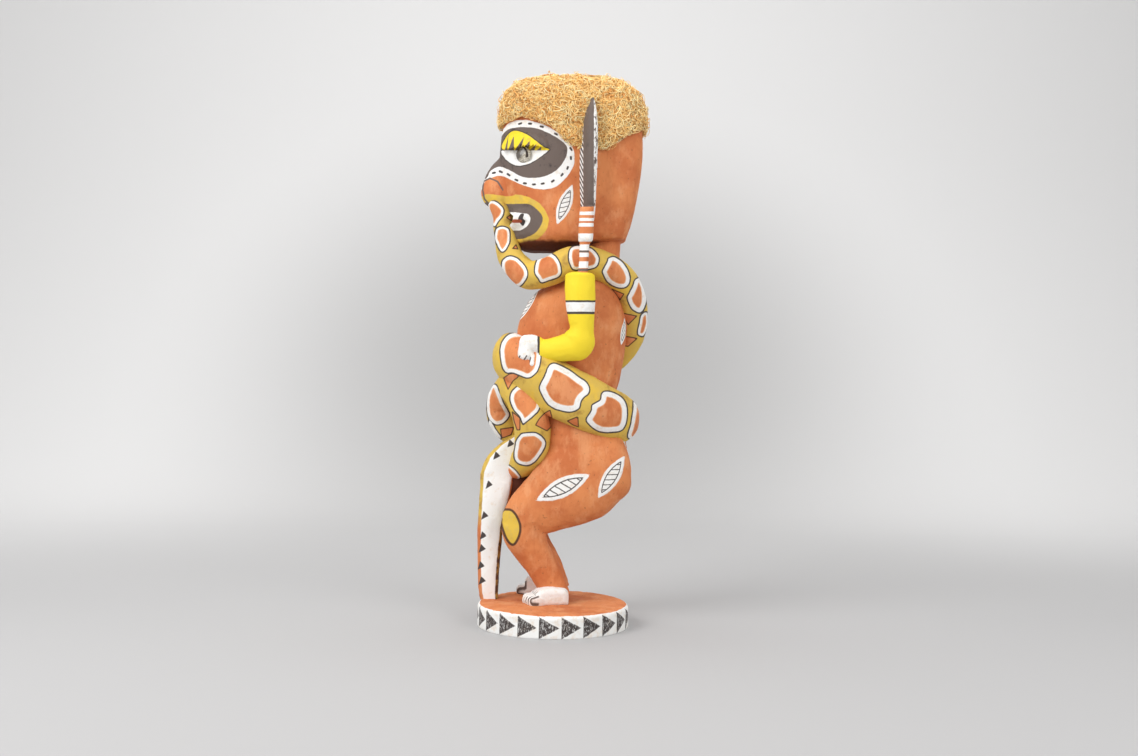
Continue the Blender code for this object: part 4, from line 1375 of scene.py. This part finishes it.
def arm_look():
    look = painted("arm", 0.66)
    u = look.uneven("photo_u", 0.5, 0.008)
    v = look.uneven("photo_v", 0.4, 0.01)
    look.coat(look.worn(YELLOW, MUSTARD, 0.03, 0.28), look.above(look.noise(0.004, 3.0), 0.12, 0.03), 0.4)
    band = look.both(look.above(v, ARMBAND_TOP - 2.0, 0.3), look.below(v, ARMBAND_LOW + 2.4, 0.3))
    look.coat(CHARCOAL_DARK, band)
    band = look.both(look.above(v, ARMBAND_TOP, 0.3), look.below(v, ARMBAND_LOW, 0.3))
    white = look.white(0.006, 0.42)
    look.coat(white, band, 0.4)
    forearm = look.above(v, FOREARM_START, 2.0)
    look.coat(CHARCOAL_DARK, look.both(forearm, look.below(u, WRIST + 1.2, 0.3)))
    look.coat(white, look.both(forearm, look.below(u, WRIST - 1.2, 0.3)), 0.4)
    look.coat(CHARCOAL, look.both(forearm, look.within("stroke", 0.75, 0.25)))
    return look.finish()


def foot_look():
    look = painted("foot", 0.7)
    look.coat(look.white(0.008, 0.42), look.within("above", 23.5, 0.5, 1.5), 0.4)
    gap = look.off(look.math("FRACT", look.noted("toe_across")), 0.5)
    ahead = look.above(look.noted("toe_along"), -3.0, 1.0)
    look.coat(CHARCOAL, look.both(look.above(gap, 0.41, 0.04), ahead))
    return look.finish()


def board_look():
    look = painted("ear_board", 0.7)
    u = look.uneven("photo_u", 0.5, 0.006)
    v = look.uneven("photo_v", 0.3, 0.006)
    white = look.white()
    upper = look.below(v, BOARD_FOOT, 0.4)
    front = look.both(upper, look.below(u, BLADE_FRONT, 0.3))
    look.coat(white, front, 0.3)
    slant = [look.math("DIVIDE", look.noted(name), HATCH_PITCH) for name in ("height", "out")]
    slant = look.math("ADD", *slant)
    hatch = look.below(look.math("FRACT", look.shift(slant, 0.08, 0.006)), 0.5, 0.06)
    look.coat(CHARCOAL_DARK, look.both(front, hatch))
    blade = look.both(upper, look.above(u, BLADE_FRONT, 0.3), look.below(u, BLADE_BACK, 0.3))
    look.coat(look.worn(CHARCOAL, CHARCOAL_DARK, 0.02, 0.3), blade, 0.2)
    bits = look.above(look.noise(0.004, 3.0, 0.6, (1, 1, 0.4)), 0.56, 0.04)
    behind = look.both(look.above(u, BLADE_BACK - 0.3, 0.3), look.below(v, BEHIND_END, 0.5))
    look.coat(white, behind, 0.3)
    look.coat(CHARCOAL, look.both(behind, upper, bits))
    for bands, paint, thickness in ((STEM_WHITES, white, 0.3), (STEM_GREYS, CHARCOAL, 0.0)):
        for top, low in bands:
            look.coat(paint, look.both(look.above(v, top, 0.35), look.below(v, low, 0.35)), thickness)
    return look.finish()


def disc_look():
    look = painted("disc", 0.8)
    x, y, z = look.axes()
    away = look.math("SQRT", look.math("ADD", look.math("MULTIPLY", x, x), look.math("MULTIPLY", y, y)))
    rim = look.above(look.shift(away, 0.0012, 0.008), DISC_RADIUS - 0.0028, 0.0003)
    look.coat(look.white(0.01, 0.42), rim, 0.5)
    turns = look.math("MULTIPLY", look.math("ARCTAN2", y, x), DISC_TRIANGLES / (2 * math.pi))
    step = look.math("FRACT", look.math("ADD", turns, -0.35))
    high = look.off(look.math("DIVIDE", look.shift(z, 0.0008, 0.006), DISC_THICKNESS), 0.48)
    slope = look.math("MULTIPLY", look.math("SUBTRACT", 0.97, look.shift(step, 0.04, 0.008)), 0.53)
    inside = look.below(look.math("SUBTRACT", high, slope), 0.0, 0.02)
    inside = look.both(inside, look.above(step, 0.08, 0.015))
    scribble = look.above(look.noise(0.002, 4.0, 0.8, (1, 1, 0.45)), 0.43, 0.06)
    look.coat(CHARCOAL_DARK, look.both(rim, inside, look.math("MULTIPLY_ADD", scribble, 0.7, 0.3)))
    return look.finish()


def fibre_look():
    look = Look("wig_fibre", 0.8)
    look.colour = look.mixed(look.above(look.noted("tone"), 0.55, 0.3), TAN, STRAW)
    look.colour = look.mixed(look.within("tone", 0.16, 0.1), look.colour, BARK)
    look.tint(0.4, look.above(look.noise(0.02, 3.0), 0.52, 0.12), TAN)
    look.height = look.noise(0.0006, 3.0)
    return look.finish(0.3, 0.0003)


def mass_look():
    look = Look("wig_mass", 0.9)
    look.height = look.noise(0.0016, 5.0, 0.75, (1, 1, 1), 1.5)
    # Painted shade: the mass is dark bark where its bumps sink and pale tan where they rise.
    look.colour = look.mixed(look.above(look.height, 0.46, 0.12), BARK, TAN)
    return look.finish(1.0, 0.0015)


def shell_look():
    look = Look("sea_shell", 0.22)
    look.shader.inputs["Specular IOR Level"].default_value = 0.5
    u = look.noted("from_middle_u")
    v = look.noted("from_middle_v")
    look.height = look.noise(0.004, 4.0, 0.6, (1, 1, 2.5), 1.2)
    look.colour = look.mixed(look.above(look.height, 0.52, 0.12), SHELL, SHELL_PALE)
    slant = look.below(look.shift(look.math("MULTIPLY_ADD", v, 0.8, u), 1.0, 0.004), -1.0, 1.6)
    look.coat(SHELL_GREY, look.both(slant, look.above(v, -6.0, 1.0)))
    bow = look.math("MULTIPLY", look.math("MULTIPLY", v, v), -0.06)
    bow = look.math("SUBTRACT", look.math("SUBTRACT", u, 3.6), bow)
    crescent = look.below(look.math("ABSOLUTE", look.shift(bow, 0.3, 0.003)), 1.2, 0.4)
    look.coat(SHELL_DARK, look.both(crescent, look.below(v, 2.5, 0.6)))
    return look.finish(0.15, 0.0003)


# Putting the pieces in place


def dress(piece, look, node):
    """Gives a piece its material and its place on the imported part."""
    piece.data.materials.clear()
    piece.data.materials.append(look)
    piece.data.shade_smooth()
    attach(piece, "root")
    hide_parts(node)


def figure():
    pieces = [(body(), body_look()), (head(), head_look()), (snake(), snake_look()), (tail(), tail_look())]
    pieces.append((disc(), disc_look()))
    arms, feet, boards = arm_look(), foot_look(), board_look()
    for side in (1, -1):
        pieces += [(arm(side), arms), (foot(side), feet), (ear_board(side), boards)]
    for piece, look in pieces:
        dress(piece, look, "carved_figure")
    cap = wig_cap()
    loose = fibre_look()
    seeds = (("wig_fibres_a", 91), ("wig_fibres_b", 92))
    strands = [fibres(name, cap, FIBRES // 2, seed) for name, seed in seeds]
    dress(cap, mass_look(), "fibre_wig")
    for piece in strands:
        dress(piece, loose, "fibre_wig")
    shell = shell_look()
    for side, node in ((1, "left_eye_shell"), (-1, "right_eye_shell")):
        dress(eye_shell(side), shell, node)


# The studio

FLOOR_NEAR = 3.0
SWEEP_START = -1.1
SWEEP_RADIUS = 1.2
SWEEP_TOP = 3.2
FLOOR_WIDTH = 7.0
WALL_START = -0.8
WALL_BLEND = 0.75
# Reach across, reach up and middle height of the painted shadow on the backdrop.
WALL_SIDE = 1.15
WALL_RISE = 0.85
WALL_MIDDLE = 0.35
FLOOR_GREY = (0.455, 0.451, 0.452)
WALL_SHADE_GREY = (0.47, 0.465, 0.462)
WALL_PALE = (0.82, 0.815, 0.812)


def studio_floor():
    """A pale floor that sweeps up into the backdrop, the backdrop painted darker round its middle behind the
    figure as a painted shadow.
    """
    arc = np.linspace(0, np.pi / 2, 24)
    profile = [(FLOOR_NEAR, 0.0)]
    profile += [(SWEEP_START - SWEEP_RADIUS * math.sin(a), SWEEP_RADIUS * (1 - math.cos(a))) for a in arc]
    profile.append((SWEEP_START - SWEEP_RADIUS, SWEEP_TOP))
    points = [(x, side * FLOOR_WIDTH / 2, z) for x, z in profile for side in (-1, 1)]
    faces = [(2 * i, 2 * i + 2, 2 * i + 3, 2 * i + 1) for i in range(len(profile) - 1)]
    data = bpy.data.meshes.new("studio_floor")
    data.from_pydata(points, [], faces)
    data.shade_smooth()
    made = bpy.data.objects.new("studio_floor", data)
    bpy.context.scene.collection.objects.link(made)
    look = Look("studio_paper", 0.7)
    x, y, z = look.axes()
    # Painted shadow: the backdrop is grey round the middle behind the figure and pales towards its sides and
    # top.
    aside = look.math("DIVIDE", y, WALL_SIDE)
    over = look.math("DIVIDE", look.math("SUBTRACT", z, WALL_MIDDLE), WALL_RISE)
    away = look.math("ADD", look.math("MULTIPLY", aside, aside), look.math("MULTIPLY", over, over))
    shaded_wall = look.mixed(look.above(look.math("SQRT", away), 0.65, 0.45), WALL_SHADE_GREY, WALL_PALE)
    look.colour = look.mixed(look.below(x, WALL_START, WALL_BLEND), FLOOR_GREY, shaded_wall)
    look.tree.links.new(look.colour, look.shader.inputs["Base Color"])
    data.materials.append(look.material)


# Each lamp's name, place, target, width, height and power.
LAMPS = (
    ("key", (1.3, -1.5, 1.5), (0, 0, 0.35), 1.3, 1.3, 37),
    ("fill", (1.5, 1.4, 1.1), (0, 0, 0.3), 1.4, 1.4, 18),
    ("top", (-0.1, 0.0, 2.2), (0, 0, 0), 1.6, 1.6, 17),
    ("backdrop", (-0.5, 0.0, 2.6), (-2.0, 0, 0.3), 2.4, 0.8, 12),
)
WORLD_STRENGTH = 0.46


def studio_light():
    for name, spot, target, width, height, power in LAMPS:
        light = bpy.data.lights.new(name, "AREA")
        light.shape = "RECTANGLE"
        light.size, light.size_y = width, height
        light.energy = power
        made = bpy.data.objects.new(name, light)
        made.location = spot
        made.rotation_euler = (Vector(target) - Vector(spot)).to_track_quat("-Z", "Y").to_euler()
        bpy.context.scene.collection.objects.link(made)
    world = bpy.data.worlds.new("studio")
    world.use_nodes = True
    sky = world.node_tree.nodes["Background"].inputs
    sky["Color"].default_value = (1, 1, 1, 1)
    sky["Strength"].default_value = WORLD_STRENGTH
    bpy.context.scene.world = world


def camera():
    """The photograph's camera, level, rolled by less than a degree."""
    data = bpy.data.cameras.new("camera")
    data.sensor_width = SENSOR_WIDTH
    data.lens = SENSOR_WIDTH * FOCAL_PIXELS / PHOTO_WIDTH
    made = bpy.data.objects.new("camera", data)
    right = Vector((0, 1, CAMERA_ROLL)).normalized()
    up = Vector((0, -CAMERA_ROLL, 1)).normalized()
    back = Vector((1, 0, 0))
    turned = Matrix((right, up, back)).transposed().to_4x4()
    turned.translation = CAMERA_PLACE
    made.matrix_world = turned
    bpy.context.scene.collection.objects.link(made)
    bpy.context.scene.camera = made


camera()
studio_floor()
studio_light()
bpy.context.scene.view_settings.view_transform = "Standard"
figure()
